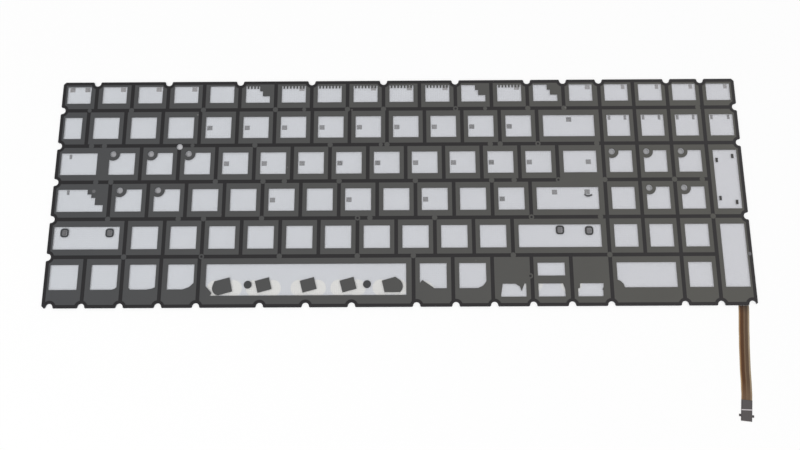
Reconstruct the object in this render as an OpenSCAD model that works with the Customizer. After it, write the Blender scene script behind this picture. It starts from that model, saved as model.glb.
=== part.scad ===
// Backlight panel of a laptop keyboard, seen from the side that faces the keys.
// A thin laminate: a lamp flex, a white reflector, a clear light guide, a clear mask film with
// grey print and a grid of bonding glue on top. The flex leaves the front edge as a tail.
// Millimetres. X runs along the rows, Y from the space bar to the function keys, Z up.
// The origin is the middle of the panel, on the surface that it lies on.

/* [Key field] */
// Spacing of the letter keys along a row
key_pitch = 18.7; // [18.2:0.1:19]
// Spacing of the rows, front to back
row_pitch = 18.7; // [17.5:0.1:20]
// Spacing of the number pad's keys
pad_pitch = 17.05; // [16:0.05:19]
// Depth of the function key row
function_row_d = 15.2; // [14:0.1:18]
// Depth of the space bar row
front_row_d = 24.6; // [24:0.1:27]

/* [First cells] */
// Width of the escape key's cell
escape_w = 17.3; // [15:0.1:20]
// Width of the cell that starts the number row
number_first_w = 14.1; // [12.5:0.1:18]
// Width of the tab key's cell
tab_w = 23.3; // [21:0.1:25]
// Width of the caps key's cell
caps_w = 28; // [26:0.1:31]
// Width of the left shift key's cell
shift_w = 37.2; // [34:0.1:41]
// Width of the right shift key's cell
right_shift_w = 46.2; // [44:0.1:50]
// Width of the left control key's cell
control_w = 18.9; // [17:0.1:21]
// Spacing of the three keys beside it
modifier_pitch = 18.3; // [16.5:0.1:19.5]
// Width of the space bar's cell
space_w = 102.5; // [101:0.1:107]

/* [Windows] */
// Print between a window and the line beside it
frame_w = 3; // [2.4:0.1:3.6]
// Print along the panel's left and right edges
edge_frame_w = 2.5; // [2:0.1:3.2]
// Print beside the line that parts letter block and number pad
block_frame_w = 3.5; // [2.6:0.1:4]
// Print on both sides of a number pad window
pad_frame_w = 2.9; // [2.3:0.1:3.5]
// Print on both sides of a number pad window in the function row
pad_function_frame_w = 2.7; // [2:0.1:3.3]
// Print left of the windows of the three keys beside the control key
modifier_left_frame_w = 3.4; // [3:0.1:3.8]
// Print right of those windows
modifier_right_frame_w = 2.3; // [1.9:0.1:2.7]
// Print on both sides of the space bar's window
space_frame_w = 3.5; // [3:0.1:4]
// Depth of a letter key's window
window_d = 11.1; // [9.5:0.1:12.5]
// Depth of a function key's window
function_window_d = 8.8; // [7.5:0.1:9.6]
// Print in front of the front row's windows
front_apron_d = 8.8; // [7.5:0.1:10]
// Print in front of the space bar's window
space_apron_d = 5.7; // [5.2:0.1:6.4]
// Print behind the front row's windows
front_frame_w = 3.8; // [3.4:0.1:4.2]
// Depth of one window of the half-height cursor keys
cursor_window_d = 6.2; // [5:0.1:7]
// Width of one tooth of the combs in the function row
tooth_w = 0.8; // [0.5:0.05:1]
// Length of those teeth
tooth_d = 1.4; // [0.8:0.1:2]

/* [Posts and notches] */
// Radius of the holes that the case's posts pass through
post_r = 1.5; // [1:0.05:2]
// Radius of the print round such a hole
post_disc_r = 3.3; // [2.7:0.1:4]
// Radius of the edge notches
notch_r = 1.7; // [1.2:0.1:2.1]
// Distance of a notch's centre from the edge
notch_in = 0.5; // [0.2:0.1:0.9]
// Flare of a notch at the edge
notch_flare = 0.4; // [0.1:0.1:0.8]
// Cut of the panel's corners
corner_cut = 1.2; // [0.5:0.1:2]

/* [Glue] */
// Width of a line of the bond grid
line_w = 1.8; // [1.2:0.1:2.4]
// Width of the glue band along the panel's edge
band_w = 1.6; // [1:0.1:2]
// Width of the glue ring round a notch
notch_ring_w = 1.5; // [1:0.1:2]
// Radius of the air vents in the bond grid
vent_r = 1.3; // [1.2:0.05:1.8]
// Radius of the glue dot in some of the vents
vent_dot_r = 0.6; // [0.3:0.05:0.8]
// How far a smaller vent reaches over both sides of its line
small_vent_over = 0.1; // [0.05:0.05:0.3]

/* [Layers] */
// Thickness of the reflector sheet
reflector_t = 0.1; // [0.05:0.01:0.12]
// Thickness of the light guide
guide_t = 0.5; // [0.5:0.01:0.7]
// Thickness of the mask film
film_t = 0.05; // [0.03:0.01:0.06]
// Thickness of the print on the mask film
print_t = 0.02; // [0.01:0.01:0.03]
// Thickness of the bond grid
bond_t = 0.04; // [0.02:0.01:0.05]
// Thickness of each glue layer beside the light guide
glue_t = 0.02; // [0.01:0.01:0.03]

/* [Lamps] */
// Length of a lamp's case
lamp_w = 3.8; // [3:0.1:4.2]
// Depth of a lamp's case
lamp_d = 1; // [0.7:0.05:1.2]
// Height of a lamp's case
lamp_h = 0.5; // [0.4:0.01:0.54]
// Wall round the lamp's phosphor
lamp_wall = 0.1; // [0.08:0.01:0.15]
// Depth of the phosphor in the case
lens_d = 0.5; // [0.3:0.05:0.6]
// Turn of each lamp
lamp_tilt = 15; // [5:1:20]
// Distance of the lamps from the panel's front edge
lamp_y = 10.7; // [10.4:0.1:10.9]
// Gap between a lamp and the light guide
lamp_gap = 0.3; // [0.2:0.05:0.5]
// Radius of a reflector opening's two round ends, as a share of the space bar's cell
opening_r_share = 0.039; // [0.035:0.001:0.041]
// Distance of those ends from the lamp's middle, as a share of the same width
opening_x_share = 0.043; // [0.038:0.001:0.046]
// Width of the dark print that covers a lamp
shade_w = 6.9; // [6:0.1:7.6]
// Depth of that print
shade_d = 5.9; // [5:0.1:6.6]
// Radius of the dark spots between the lamps
spot_r = 1.9; // [1.4:0.1:2.2]

/* [Flex] */
// Thickness of the flex's base film
base_t = 0.05; // [0.03:0.01:0.08]
// Thickness of the copper
copper_t = 0.03; // [0.02:0.01:0.05]
// Thickness of the white cover film
cover_t = 0.04; // [0.02:0.01:0.06]
// Thickness of the tape between the flex and the reflector
tape_t = 0.04; // [0.03:0.01:0.08]
// Thickness of the solder under a lamp
solder_t = 0.02; // [0.01:0.01:0.03]
// Distance of the flex from the panel's front edge
flex_y = 2.7; // [2.4:0.1:3]
// Distance of the flex's back edge from the panel's front edge
flex_back_y = 13.8; // [13.6:0.1:14.6]
// Width of a copper track
track_w = 1.5; // [1.2:0.1:1.6]
// Gap between the two tracks
track_gap = 0.6; // [0.4:0.1:0.9]
// Width of the narrow copper that joins a lamp to its tracks
spur_w = 0.7; // [0.5:0.1:0.9]

/* [Tail] */
// Width of the tail
tail_w = 5; // [4.6:0.1:5.6]
// Distance of the tail's middle from the panel's right edge
tail_in = 6.5; // [6:0.1:9]
// Length of the stiffened end
tongue_l = 9.5; // [8:0.1:12]
// Thickness of the stiffener
stiffener_t = 0.2; // [0.1:0.01:0.3]
// Length of the two ears
ear_l = 1.1; // [0.8:0.1:1.5]
// How far each ear stands out
ear_w = 0.9; // [0.6:0.1:1.4]
// Distance of the ears from the tail's end
ear_end = 1.9; // [1.5:0.1:3]
// Length of the contact fingers
finger_l = 3.6; // [3:0.1:5]
// Width of a contact finger
finger_w = 0.7; // [0.5:0.05:0.8]
// Spacing of the contact fingers
finger_pitch = 1; // [0.9:0.05:1.1]

/* [Hidden] */
$fn = 48;

// Rows are counted from the front: space bar, shift, home, tab, number and function row.
FRONT = 0;
SHIFT = 1;
HOME = 2;
TAB = 3;
NUMBER = 4;
FUNCTION = 5;
ROWS = 6;

// The shift row sets the width of the letter block, up to the number pad
SHIFT_ROW_KEYS = 10;
main_w = shift_w + SHIFT_ROW_KEYS * key_pitch + right_shift_w;
panel_w = main_w + 4 * pad_pitch;
panel_d = front_row_d + 4 * row_pitch + function_row_d;

// Heights of the layers, from the surface that the panel lies on
copper_z = base_t;
cover_z = copper_z + copper_t;
tape_z = cover_z + cover_t;
reflector_z = tape_z + tape_t;
guide_glue_z = reflector_z + reflector_t;
guide_z = guide_glue_z + glue_t;
mask_glue_z = guide_z + guide_t;
film_z = mask_glue_z + glue_t;
print_z = film_z + film_t;
bond_z = print_z + print_t;
lamp_z = cover_z + solder_t;

// Lines of the key grid
function row_y(r) = r == 0 ? 0 : r == ROWS ? panel_d : front_row_d + (r - 1) * row_pitch;
function even(first, pitch, n) = [for (k = [0:n]) first + k * pitch];
space_x = control_w + 3 * modifier_pitch;
space_end = space_x + space_w;
cursor_pitch = (main_w - space_end) / 5;
columns = [
    concat([0], even(control_w, modifier_pitch, 3), even(space_end, cursor_pitch, 5)),
    concat([0], even(shift_w, key_pitch, SHIFT_ROW_KEYS), [main_w]),
    concat([0], even(caps_w, key_pitch, 11), [main_w]),
    concat([0], even(tab_w, key_pitch, 12), [main_w]),
    concat([0], even(number_first_w, key_pitch, 12), [main_w]),
    concat([0], even(escape_w, (main_w - escape_w) / 14, 14))
];
function pad_x(k) = main_w + k * pad_pitch;
function row_end(r) = len(columns[r]) - 2;

// Cells of the number pad: first and last column line, first and last row line
pad_cells = concat(
    [for (r = [NUMBER, FUNCTION], k = [0:3]) [k, k + 1, r, r + 1]],
    [for (r = [SHIFT, HOME, TAB], k = [0:2]) [k, k + 1, r, r + 1]],
    [[3, 4, HOME, NUMBER], [3, 4, FRONT, HOME], [0, 2, FRONT, SHIFT], [2, 3, FRONT, SHIFT]]
);

// Front and back side of a row's windows
row_frame = (row_pitch - window_d) / 2;
function win_front(r) =
    r == FRONT ? front_apron_d : row_y(r) + row_frame;
function win_back(r) =
    r == FRONT ? front_row_d - front_frame_w
    : r == FUNCTION ? win_front(r) + function_window_d
    : row_y(r) + row_frame + window_d;
function is_modifier(r, k) = r == FRONT && k >= 1 && k <= 3;
function win_left(r, k) =
    columns[r][k] + (k == 0 ? edge_frame_w : is_modifier(r, k) ? modifier_left_frame_w : frame_w);
function win_right(r, k) =
    columns[r][k + 1]
    - (k == row_end(r) ? block_frame_w : is_modifier(r, k) ? modifier_right_frame_w : frame_w);
function pad_frame(r) = r == FUNCTION ? pad_function_frame_w : pad_frame_w;
function pad_left(k, r = TAB) = pad_x(k) + pad_frame(r);
function pad_right(k, r = TAB) = pad_x(k) - (k == 4 ? min(edge_frame_w, pad_frame(r)) : pad_frame(r));
function middle(a, b) = (a + b) / 2;

// The space bar and cursor keys have windows of their own
LEFT_KEY = 7;
UP_DOWN_KEY = 8;
RIGHT_KEY = 9;
plain_front_keys = [0, 1, 2, 3, 5, 6];
space_left = space_x + space_frame_w;
space_right = space_end - space_frame_w;
space_back = front_row_d - front_frame_w;
space_front = space_apron_d;
cursor_front = 4.6;
cursor_back = front_row_d - front_frame_w - cursor_window_d;

// Posts: row and key whose window they stand beside, with the number pad's apart
key_posts = [[TAB, 1], [TAB, 2], [TAB, 3], [HOME, 1], [HOME, 2]];
pad_posts = [[TAB, 0], [TAB, 1], [TAB, 2], [HOME, 1], [HOME, 2]];
post_drop = 0.55;
post_in = 1.8;
pad_post_in = 1.4;
line_post = [columns[TAB][3] + 0.1, row_y(NUMBER) - 0.7];
posts = concat(
    [for (p = key_posts) [win_left(p[0], p[1]) + post_in, win_back(p[0]) - post_drop]],
    [for (p = pad_posts) [pad_left(p[1]) + pad_post_in, win_back(p[0]) - post_drop]]
);
all_posts = concat(posts, [line_post]);

// Notches: place on the edge, and the turn that opens them outwards
corner_notch_left = 3.6;
corner_notch_right = 2.4;
space_middle = middle(space_x, space_end);
space_notch_pitch = 21.8;
// How far the front notches lie beside the key grid's lines
front_notch_steps = [-0.2, -0.3, -0.4, -0.7, 1.4, 1.2, 0.6, 0.2, -0.3, -0.6];
notches = concat(
    [for (x = [corner_notch_left, panel_w - corner_notch_right]) [x, 0, 0]],
    [for (k = [1:10]) [columns[FRONT][k] + front_notch_steps[k - 1], 0, 0]],
    [for (k = [-1:1]) [space_middle + k * space_notch_pitch, 0, 0]],
    [for (k = [2:3]) [pad_x(k), 0, 0]],
    [for (k = [1, 3, 5, 7, 9, 11, 13, 14, 15]) [columns[FUNCTION][k], panel_d, 180]],
    [for (k = [2:3]) [pad_x(k), panel_d, 180]],
    [for (r = [1:5]) [0, row_y(r), 270]],
    [for (r = [HOME, NUMBER, FUNCTION]) [panel_w, row_y(r), 90]]
);

// Vents of the bond grid: row line, row whose column line they sit on, that line, side step
plain_vents = [
    [5, FUNCTION, 2, 0], [5, FUNCTION, 4, 0], [5, FUNCTION, 6, 0], [5, FUNCTION, 8, 0],
    [5, FUNCTION, 9, 0], [5, FUNCTION, 13, 0], [5, FUNCTION, 14, 0],
    [4, NUMBER, 1, 2.8], [4, TAB, 1, 0], [4, TAB, 5, 0], [4, TAB, 7, 0], [4, NUMBER, 9, 0],
    [4, NUMBER, 12, -4.9], [4, NUMBER, 12, 0], [4, NUMBER, 14, -2.8],
    [3, TAB, 1, -2.7], [3, HOME, 1, 0], [3, TAB, 4, 0], [3, HOME, 5, 0], [3, TAB, 6, -3.5],
    [3, HOME, 7, 0], [3, HOME, 9, 0], [3, HOME, 11, 0], [3, TAB, 12, -3], [3, HOME, 13, 0],
    [2, HOME, 1, 0], [2, HOME, 3, -3.1], [2, SHIFT, 3, 0], [2, HOME, 5, 0], [2, HOME, 8, -3.5],
    [2, SHIFT, 9, 0], [2, SHIFT, 12, -3.3],
    [1, FRONT, 2, 0], [1, SHIFT, 5, 0], [1, SHIFT, 7, 0], [1, FRONT, 5, 0], [1, SHIFT, 11, 0],
    [1, SHIFT, 12, 0]
];
pad_vents = [[5, 3, -2.3], [3, 2, 0], [3, 3, -3.5], [2, 3, 0]];
dot_vents = [
    [5, FUNCTION, 11, 0], [4, NUMBER, 13, 0], [3, TAB, 13, 0], [2, SHIFT, 7, 0],
    [2, HOME, 12, 0], [1, SHIFT, 3, 0]
];
small_vents = [
    [5, NUMBER, 1, 0.2], [5, FUNCTION, 7, -3.6], [5, FUNCTION, 12, -3.3],
    [4, NUMBER, 4, -3.1], [4, NUMBER, 9, -3.1]
];
function vent_at(v) = [columns[v[1]][v[2]] + v[3], row_y(v[0])];
// Vent with a dot on the line between two cursor keys
cursor_vent = [columns[FRONT][UP_DOWN_KEY] - 0.8, 14.5];
vents = concat(
    [for (v = plain_vents) vent_at(v)],
    [for (v = dot_vents) vent_at(v)],
    [for (v = pad_vents) [pad_x(v[1]) + v[2], row_y(v[0])]],
    [cursor_vent]
);
small_vent_r = line_w / 2 + small_vent_over;
vent_dots = concat([for (v = dot_vents) vent_at(v)], [cursor_vent]);

// Lamps and the spots between them, as shares of the space bar's cell from its left line
lamp_shares = [0.121, 0.302, 0.511, 0.696, 0.891];
spot_shares = [0.23, 0.784];
lamp_count = len(lamp_shares);
function lamp_x(i) = space_x + lamp_shares[i] * space_w;
spot_back = 0.2;
opening_r = opening_r_share * space_w;
opening_x = opening_x_share * space_w;
opening_drop = 1.4;
opening_neck_d = 1.6 * opening_r;
shade_gap = 0.15;

// Flex: the wide part under the lamps, the narrow lead and the tail's root
flex_end_gap = 0.8;
flex_left = lamp_x(0) - opening_x - opening_r - flex_end_gap;
flex_right = lamp_x(lamp_count - 1) + opening_x + opening_r + flex_end_gap;
tail_x = panel_w - tail_in;
tail_t = base_t + copper_t + cover_t;
track_margin = (tail_w - 2 * track_w - track_gap) / 2;
low_track_y = flex_y + track_margin;
high_track_y = low_track_y + track_w + track_gap;
rail_y = flex_back_y - track_margin - track_w;
solder_w = 0.9;

// Route of the tail's middle line, from where it leaves the panel's front edge
tail_route = [
    [0, 0], [-0.2, -3], [-0.5, -6], [-0.8, -9], [-1.1, -12], [-1.3, -15], [-1.6, -18], [-1.8, -21],
    [-2, -24], [-2.2, -27], [-2.4, -30], [-2.5, -33], [-2.6, -36], [-2.8, -39], [-2.9, -41],
    [-3.2, -43.5]
];
ribbon_edge = 0.25;
finger_t = 0.03;

// Flat forms

module box_between(x0, x1, y0, y1) {
    translate([x0, y0]) square([x1 - x0, y1 - y0]);
}

// A notch that opens towards -Y, with its place on the edge at the origin
module notch() {
    throat = 0.95 * notch_r;
    translate([0, notch_in]) circle(notch_r);
    polygon([
        [-notch_r - notch_flare, -notch_r], [-notch_r - notch_flare, 0], [-throat, notch_in],
        [throat, notch_in], [notch_r + notch_flare, 0], [notch_r + notch_flare, -notch_r]
    ]);
}

// The outline that every full sheet shares
module sheet() {
    difference() {
        polygon([
            [corner_cut, 0], [panel_w - corner_cut, 0], [panel_w, corner_cut],
            [panel_w, panel_d - corner_cut], [panel_w - corner_cut, panel_d],
            [corner_cut, panel_d], [0, panel_d - corner_cut], [0, corner_cut]
        ]);
        for (n = notches) translate([n[0], n[1]]) rotate(n[2]) notch();
    }
}

module post_holes() {
    for (p = all_posts) translate(p) circle(post_r);
}

module notch_rings() {
    for (n = notches) {
        translate([n[0], n[1]]) rotate(n[2]) translate([0, notch_in]) circle(notch_r + notch_ring_w);
    }
}

// The glue band along the edge, led round every notch
module edge_band() {
    difference() {
        sheet();
        difference() {
            box_between(band_w, panel_w - band_w, band_w, panel_d - band_w);
            notch_rings();
        }
    }
}

// Sides of a bond grid opening: half a line inside the grid, a full band at the panel's edge
function after(v) = v == 0 ? band_w : v + line_w / 2;
function before(v, last) = v == last ? last - band_w : v - line_w / 2;

module grid_opening(x0, x1, y0, y1) {
    box_between(after(x0), before(x1, panel_w), after(y0), before(y1, panel_d));
}

// Every field that the bond grid leaves open. Tab and the key beside it share one,
// and so do the two keys left of the number pad in the home and tab rows.
module grid_openings() {
    for (r = [0:ROWS - 1]) {
        for (k = [r == TAB ? 2 : 0:row_end(r)]) {
            grid_opening(columns[r][k], columns[r][k + 1], row_y(r), row_y(r + 1));
        }
    }
    grid_opening(0, columns[TAB][2], row_y(TAB), row_y(TAB + 1));
    box_between(
        columns[TAB][13] + line_w / 2, main_w - line_w / 2,
        row_y(TAB) - line_w / 2, row_y(TAB) + line_w / 2
    );
    for (c = pad_cells) grid_opening(pad_x(c[0]), pad_x(c[1]), row_y(c[2]), row_y(c[3]));
}

// Windows of the mask print

module key_window(r, k) {
    box_between(win_left(r, k), win_right(r, k), win_front(r), win_back(r));
}

module windows() {
    for (r = [SHIFT:FUNCTION], k = [0:row_end(r)]) key_window(r, k);
    for (k = plain_front_keys) key_window(FRONT, k);
    box_between(space_left, space_right, space_front, space_back);
    for (c = pad_cells) {
        box_between(pad_left(c[0], c[2]), pad_right(c[1], c[2]), win_front(c[2]), win_back(c[3] - 1));
    }
    cursor_windows();
}

// The irregular windows of the cursor keys
module cursor_windows() {
    low = cursor_front;
    top = cursor_front + cursor_window_d;
    left = [columns[FRONT][LEFT_KEY] + frame_w, columns[FRONT][LEFT_KEY + 1] - frame_w];
    both = [columns[FRONT][UP_DOWN_KEY] + frame_w, columns[FRONT][UP_DOWN_KEY + 1] - frame_w];
    right = [columns[FRONT][RIGHT_KEY] + frame_w, columns[FRONT][RIGHT_KEY + 1] - frame_w];
    polygon([
        [left[0] + 0.8, low], [left[1], low], [left[1], top], [left[1] - 0.8, top],
        [left[1] - 1.6, top - 2], [left[1] - 2.2, top - 3.7], [left[1] - 3, top - 1.4],
        [left[1] - 5, top - 0.1], [left[0] + 1, top]
    ]);
    box_between(both[0] - 0.2, both[1] - 0.1, cursor_back, cursor_back + cursor_window_d);
    polygon([
        [both[0] - 0.2, low], [both[1] - 0.3, low], [both[1] - 0.5, top - 2.5],
        [both[1] - 1.3, top], [both[0] - 0.2, top]
    ]);
    polygon([
        [right[0] - 0.3, low], [right[1] - 1.3, low], [right[1] - 1.2, top - 3.4],
        [right[1] - 1.7, top - 2.9], [right[1] - 1, top - 1.8], [right[1] - 0.9, top],
        [right[0] + 0.8, top], [right[0] + 0.6, top - 2.3], [right[0] - 0.3, top - 2.4]
    ]);
}

// A cut of a window's front corner: w along the row, h back from it, towards side s
module corner_fill(x, y, s, w, h) {
    polygon([[x, y], [x + s * w, y], [x + 0.4 * s * w, y + 0.36 * h], [x, y + h]]);
}

// Steps that the print takes out of a window's right back corner, each with a width and a depth
function_steps = [[5.1, 2.7], [3.6, 5.4]];
caps_steps = [[8, 2.4], [6, 4.2], [4, 7.8]];
module corner_steps(x, y, steps) {
    for (s = steps) box_between(x - s[0], x, y - s[1], y);
}

// Seven teeth of a comb between a window's sides x0 and x1
tooth_in = 1.1;
module comb(x0, x1, y) {
    for (x = even(x0 + tooth_in, (x1 - x0 - 2 * tooth_in) / 6, 6)) {
        box_between(x - tooth_w / 2, x + tooth_w / 2, y - tooth_d, y);
    }
}

// Print that stands into the windows
module window_fills() {
    back = win_back(FUNCTION);
    front = win_front(FRONT);
    for (p = posts) translate(p) circle(post_disc_r);
    for (k = [5, 6, 7, 8, 9, 10, 12]) {
        comb(win_left(FUNCTION, k), win_right(FUNCTION, k), back);
    }
    for (k = [5, 11, 13]) corner_steps(win_right(FUNCTION, k), back, function_steps);
    corner_steps(win_right(HOME, 0), win_back(HOME), caps_steps);
    corner_fill(win_right(FRONT, 1), front, -1, 2.4, 1.2);
    corner_fill(win_left(FRONT, 2), front, 1, 1.1, 1);
    corner_fill(win_right(FRONT, 2), front, -1, 4.2, 1.1);
    corner_fill(win_right(FRONT, 3), front, -1, 5.2, 3.1);
    corner_fill(win_right(FRONT, 6), front, -1, 4, 3.2);
    translate([win_left(FRONT, 5), front]) {
        polygon([[0, 0], [0, 2.6], [1.2, 4], [6.2, 0.5], [6.8, 0]]);
    }
    translate([pad_left(0), front]) polygon([[0, 0], [3.2, 0], [2.8, 1.6], [1.5, 3], [0, 3.7]]);
    polygon([
        [space_left, space_front], [space_left + 2.3, space_front],
        [space_left + 3, space_front + 1.3], [space_left, space_front + 4.6]
    ]);
}

// Lamps

module at_lamp(i) {
    translate([lamp_x(i), lamp_y]) children();
}

// The opening of the reflector round a lamp
module lamp_opening() {
    translate([0, -opening_drop]) {
        for (s = [-1, 1]) translate([s * opening_x, 0]) circle(opening_r);
        square([2 * opening_x, opening_neck_d], center = true);
    }
}

module lamp_footprint(gap) {
    rotate(lamp_tilt) square([lamp_w + 2 * gap, lamp_d + 2 * gap], center = true);
}

// The dark print over a lamp. The first one has a round left end, the last a round right end.
module shade_form(i) {
    end_r = shade_w / 2;
    if (i == lamp_count - 1) {
        difference() {
            union() {
                rotate(lamp_tilt) square([shade_w, shade_d], center = true);
                translate([2.4, -0.1]) circle(end_r + 0.3);
            }
            translate([0, -shade_d - 3.7]) square([4 * shade_w, 2 * shade_d], center = true);
        }
    } else {
        rotate(lamp_tilt) square([shade_w, shade_d], center = true);
        if (i == 0) {
            translate([-3.1, -0.7]) circle(end_r);
            rotate(lamp_tilt) translate([0, -1.1]) square([shade_w, shade_d], center = true);
        }
    }
}

module spots() {
    for (s = spot_shares) translate([space_x + s * space_w, lamp_y + spot_back]) circle(spot_r);
}

// Rounded squares in the shift keys' windows: key, and share of the window from its left side
ring_size = 4.1;
ring_hole = 1.8;
ring_drop = 2.7;
ring_places = [
    [0, 0.167], [0, 0.855], [row_end(SHIFT), 0.494], [row_end(SHIFT), 0.856]
];
module shift_ring() {
    difference() {
        intersection() {
            square(ring_size, center = true);
            circle(0.62 * ring_size);
        }
        square(ring_hole, center = true);
    }
}

module shift_ring_places() {
    for (p = ring_places) {
        left = win_left(SHIFT, p[0]);
        x = left + p[1] * (win_right(SHIFT, p[0]) - left);
        translate([x, win_back(SHIFT) - ring_drop]) children();
    }
}

// Small ink marks: bars in the two tall keys of the number pad and a bar in the enter key
bar_w = 1.2;
bar_d = 2.2;
enter_bar_w = 3.4;
module mark_bars() {
    x = [pad_left(3) + 1.6, pad_right(4) - 2.2];
    enter = row_end(HOME);
    for (p = [[x[0], 5.2], [x[1], 3.2]]) {
        translate([p[0], win_back(TAB) - p[1]]) square([bar_w, bar_d], center = true);
        translate([p[0], win_front(HOME) + p[1]]) square([bar_w, bar_d], center = true);
    }
    translate([win_right(HOME, enter) - 4.9, win_back(HOME) - 4.2]) {
        square([enter_bar_w, bar_w / 2], center = true);
    }
}

// Glue pads between reflector and light guide, each beside its key's window edge
pad_w = 2.6;
pad_d = 2.4;
slim_pad_w = 1.3;
short_pad_w = 1.8;
function_pad_keys = [0, 1, 2, 3, 6, 8, 9, 10, 12, 14];
function_pad_in = 2.1;
side_in = 1.9;
pad_side_in = 1.4;
// Single pads: row, key, side (0 left, 1 right), distance from that side and from the back, width
single_pads = [
    [TAB, 0, 0, 4.4, 1.6, slim_pad_w], [TAB, 13, 1, 3.9, window_d / 2, pad_w],
    [HOME, 0, 0, 4.8, 1.2, slim_pad_w], [HOME, 12, 0, 8.9, 2.3, pad_w],
    [HOME, 12, 1, 5.4, 2.2, pad_w], [NUMBER, 13, 0, 13, 2.1, pad_w]
];
function beside(r, k, side, d) = side == 0 ? win_left(r, k) + d : win_right(r, k) - d;
module glue_pad(x, y, w = pad_w, d = pad_d) {
    translate([x, y]) square([w, d], center = true);
}

module glue_pads() {
    back = win_back(FUNCTION) - pad_d / 2;
    glue_pad(win_left(FUNCTION, 0) + function_pad_in, back);
    for (k = function_pad_keys) glue_pad(win_right(FUNCTION, k) - function_pad_in, back);
    for (k = [1:4]) glue_pad(pad_right(k) - side_in, back, short_pad_w);
    for (k = [4:12], r = [TAB, NUMBER]) {
        glue_pad(win_left(r, k) + side_in, row_y(r) + row_pitch / 2);
    }
    for (k = [5, 7, 9, 11]) {
        glue_pad(win_left(HOME, k) + side_in, row_y(HOME) + row_pitch / 2);
    }
    for (k = [0:3]) {
        glue_pad(pad_left(k) + pad_side_in, win_back(NUMBER) - pad_d / 2, slim_pad_w);
        glue_pad(pad_right(k + 1) - side_in, win_back(NUMBER) - pad_d / 2, slim_pad_w);
    }
    for (p = single_pads) {
        glue_pad(beside(p[0], p[1], p[2], p[3]), win_back(p[0]) - p[4], p[5]);
    }
}

// Flex

module flex_form(inset) {
    edge = tail_w / 2;
    box_between(flex_left + inset, flex_right - inset, flex_y + inset, flex_back_y - inset);
    box_between(flex_left + inset, tail_x + edge - inset, flex_y + inset, flex_y + tail_w - inset);
    box_between(tail_x - edge + inset, tail_x + edge - inset, inset, flex_y + tail_w - inset);
}

// Middle of a lamp's left (s = -1) or right (s = 1) solder pad, from the lamp's middle
function solder_at(s) = [for (f = [cos(lamp_tilt), sin(lamp_tilt)]) s * (lamp_w - solder_w) / 2 * f];

module solder_pads() {
    for (i = [0:lamp_count - 1], s = [-1, 1]) {
        at_lamp(i) translate(solder_at(s)) rotate(lamp_tilt) square([solder_w, lamp_d], center = true);
    }
}

// Two tracks run from the tail past every lamp: the low one meets the lamps' left pads,
// the high one steps back behind the lamps and meets their right pads.
module tracks() {
    start = flex_left + track_margin;
    step = flex_right - track_margin;
    low_end = tail_x - track_gap / 2;
    high_end = low_end + track_gap + track_w;
    box_between(start, low_end, low_track_y, low_track_y + track_w);
    box_between(low_end - track_w, low_end, 0, low_track_y + track_w);
    box_between(start, step, rail_y, rail_y + track_w);
    box_between(step - track_w, step, high_track_y, rail_y + track_w);
    box_between(step - track_w, high_end, high_track_y, high_track_y + track_w);
    box_between(high_end - track_w, high_end, 0, high_track_y + track_w);
    solder_pads();
    for (i = [0:lamp_count - 1]) {
        left = lamp_x(i) + solder_at(-1)[0];
        right = lamp_x(i) + solder_at(1)[0];
        low = low_track_y + track_w / 2;
        high = rail_y + track_w / 2;
        box_between(left - spur_w / 2, left + spur_w / 2, low, lamp_y + solder_at(-1)[1]);
        box_between(right - spur_w / 2, right + spur_w / 2, lamp_y + solder_at(1)[1], high);
    }
}

// Tail

// Direction of the route at point i, from the points on either side of it
function heading(i) =
    i == 0 ? -90
    : let (a = tail_route[i - 1], b = tail_route[min(i + 1, len(tail_route) - 1)])
      atan2(b[1] - a[1], b[0] - a[0]);
// The ribbon's section: across its width, and up
ribbon_section = [
    [-tail_w / 2, tail_t / 3], [-tail_w / 2 + ribbon_edge, 0], [tail_w / 2 - ribbon_edge, 0],
    [tail_w / 2, tail_t / 3], [tail_w / 2, 2 * tail_t / 3], [tail_w / 2 - ribbon_edge, tail_t],
    [-tail_w / 2 + ribbon_edge, tail_t], [-tail_w / 2, 2 * tail_t / 3]
];
function ribbon_ring(i) = [
    for (s = ribbon_section)
        [
            tail_route[i][0] - s[0] * sin(heading(i)),
            tail_route[i][1] + s[0] * cos(heading(i)),
            s[1]
        ]
];

module ribbon() {
    n = len(ribbon_section);
    rings = len(tail_route);
    points = [for (i = [0:rings - 1]) each ribbon_ring(i)];
    sides = [
        for (i = [0:rings - 2], j = [0:n - 1])
            [i * n + j, i * n + (j + 1) % n, (i + 1) * n + (j + 1) % n, (i + 1) * n + j]
    ];
    ends = [[for (j = [n - 1:-1:0]) j], [for (j = [0:n - 1]) (rings - 1) * n + j]];
    polyhedron(points, concat(sides, ends));
}

// Puts its children at the ribbon's far end, with -Y along the tail
module at_tail_end() {
    last = len(tail_route) - 1;
    translate(tail_route[last]) rotate(heading(last) + 90) children();
}

// Outline of the stiffened end, with an ear on each side
module tongue_form() {
    box_between(-tail_w / 2, tail_w / 2, -tongue_l, 0);
    box_between(-tail_w / 2 - ear_w, tail_w / 2 + ear_w, -tongue_l + ear_end, ear_end + ear_l - tongue_l);
}

// Solids

module on_panel(z, t) {
    translate([-panel_w / 2, -panel_d / 2, z]) linear_extrude(height = t) children();
}

module at_exit(z) {
    translate([tail_x - panel_w / 2, -panel_d / 2, z]) children();
}

module bond_grid() {
    color([0.19, 0.18, 0.19]) on_panel(bond_z, bond_t) {
        difference() {
            sheet();
            difference() {
                grid_openings();
                notch_rings();
            }
            for (v = vents) translate(v) circle(vent_r);
            for (v = small_vents) translate(vent_at(v)) circle(small_vent_r);
            translate(line_post) circle(post_r);
        }
        for (v = vent_dots) translate(v) circle(vent_dot_r);
    }
}

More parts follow.
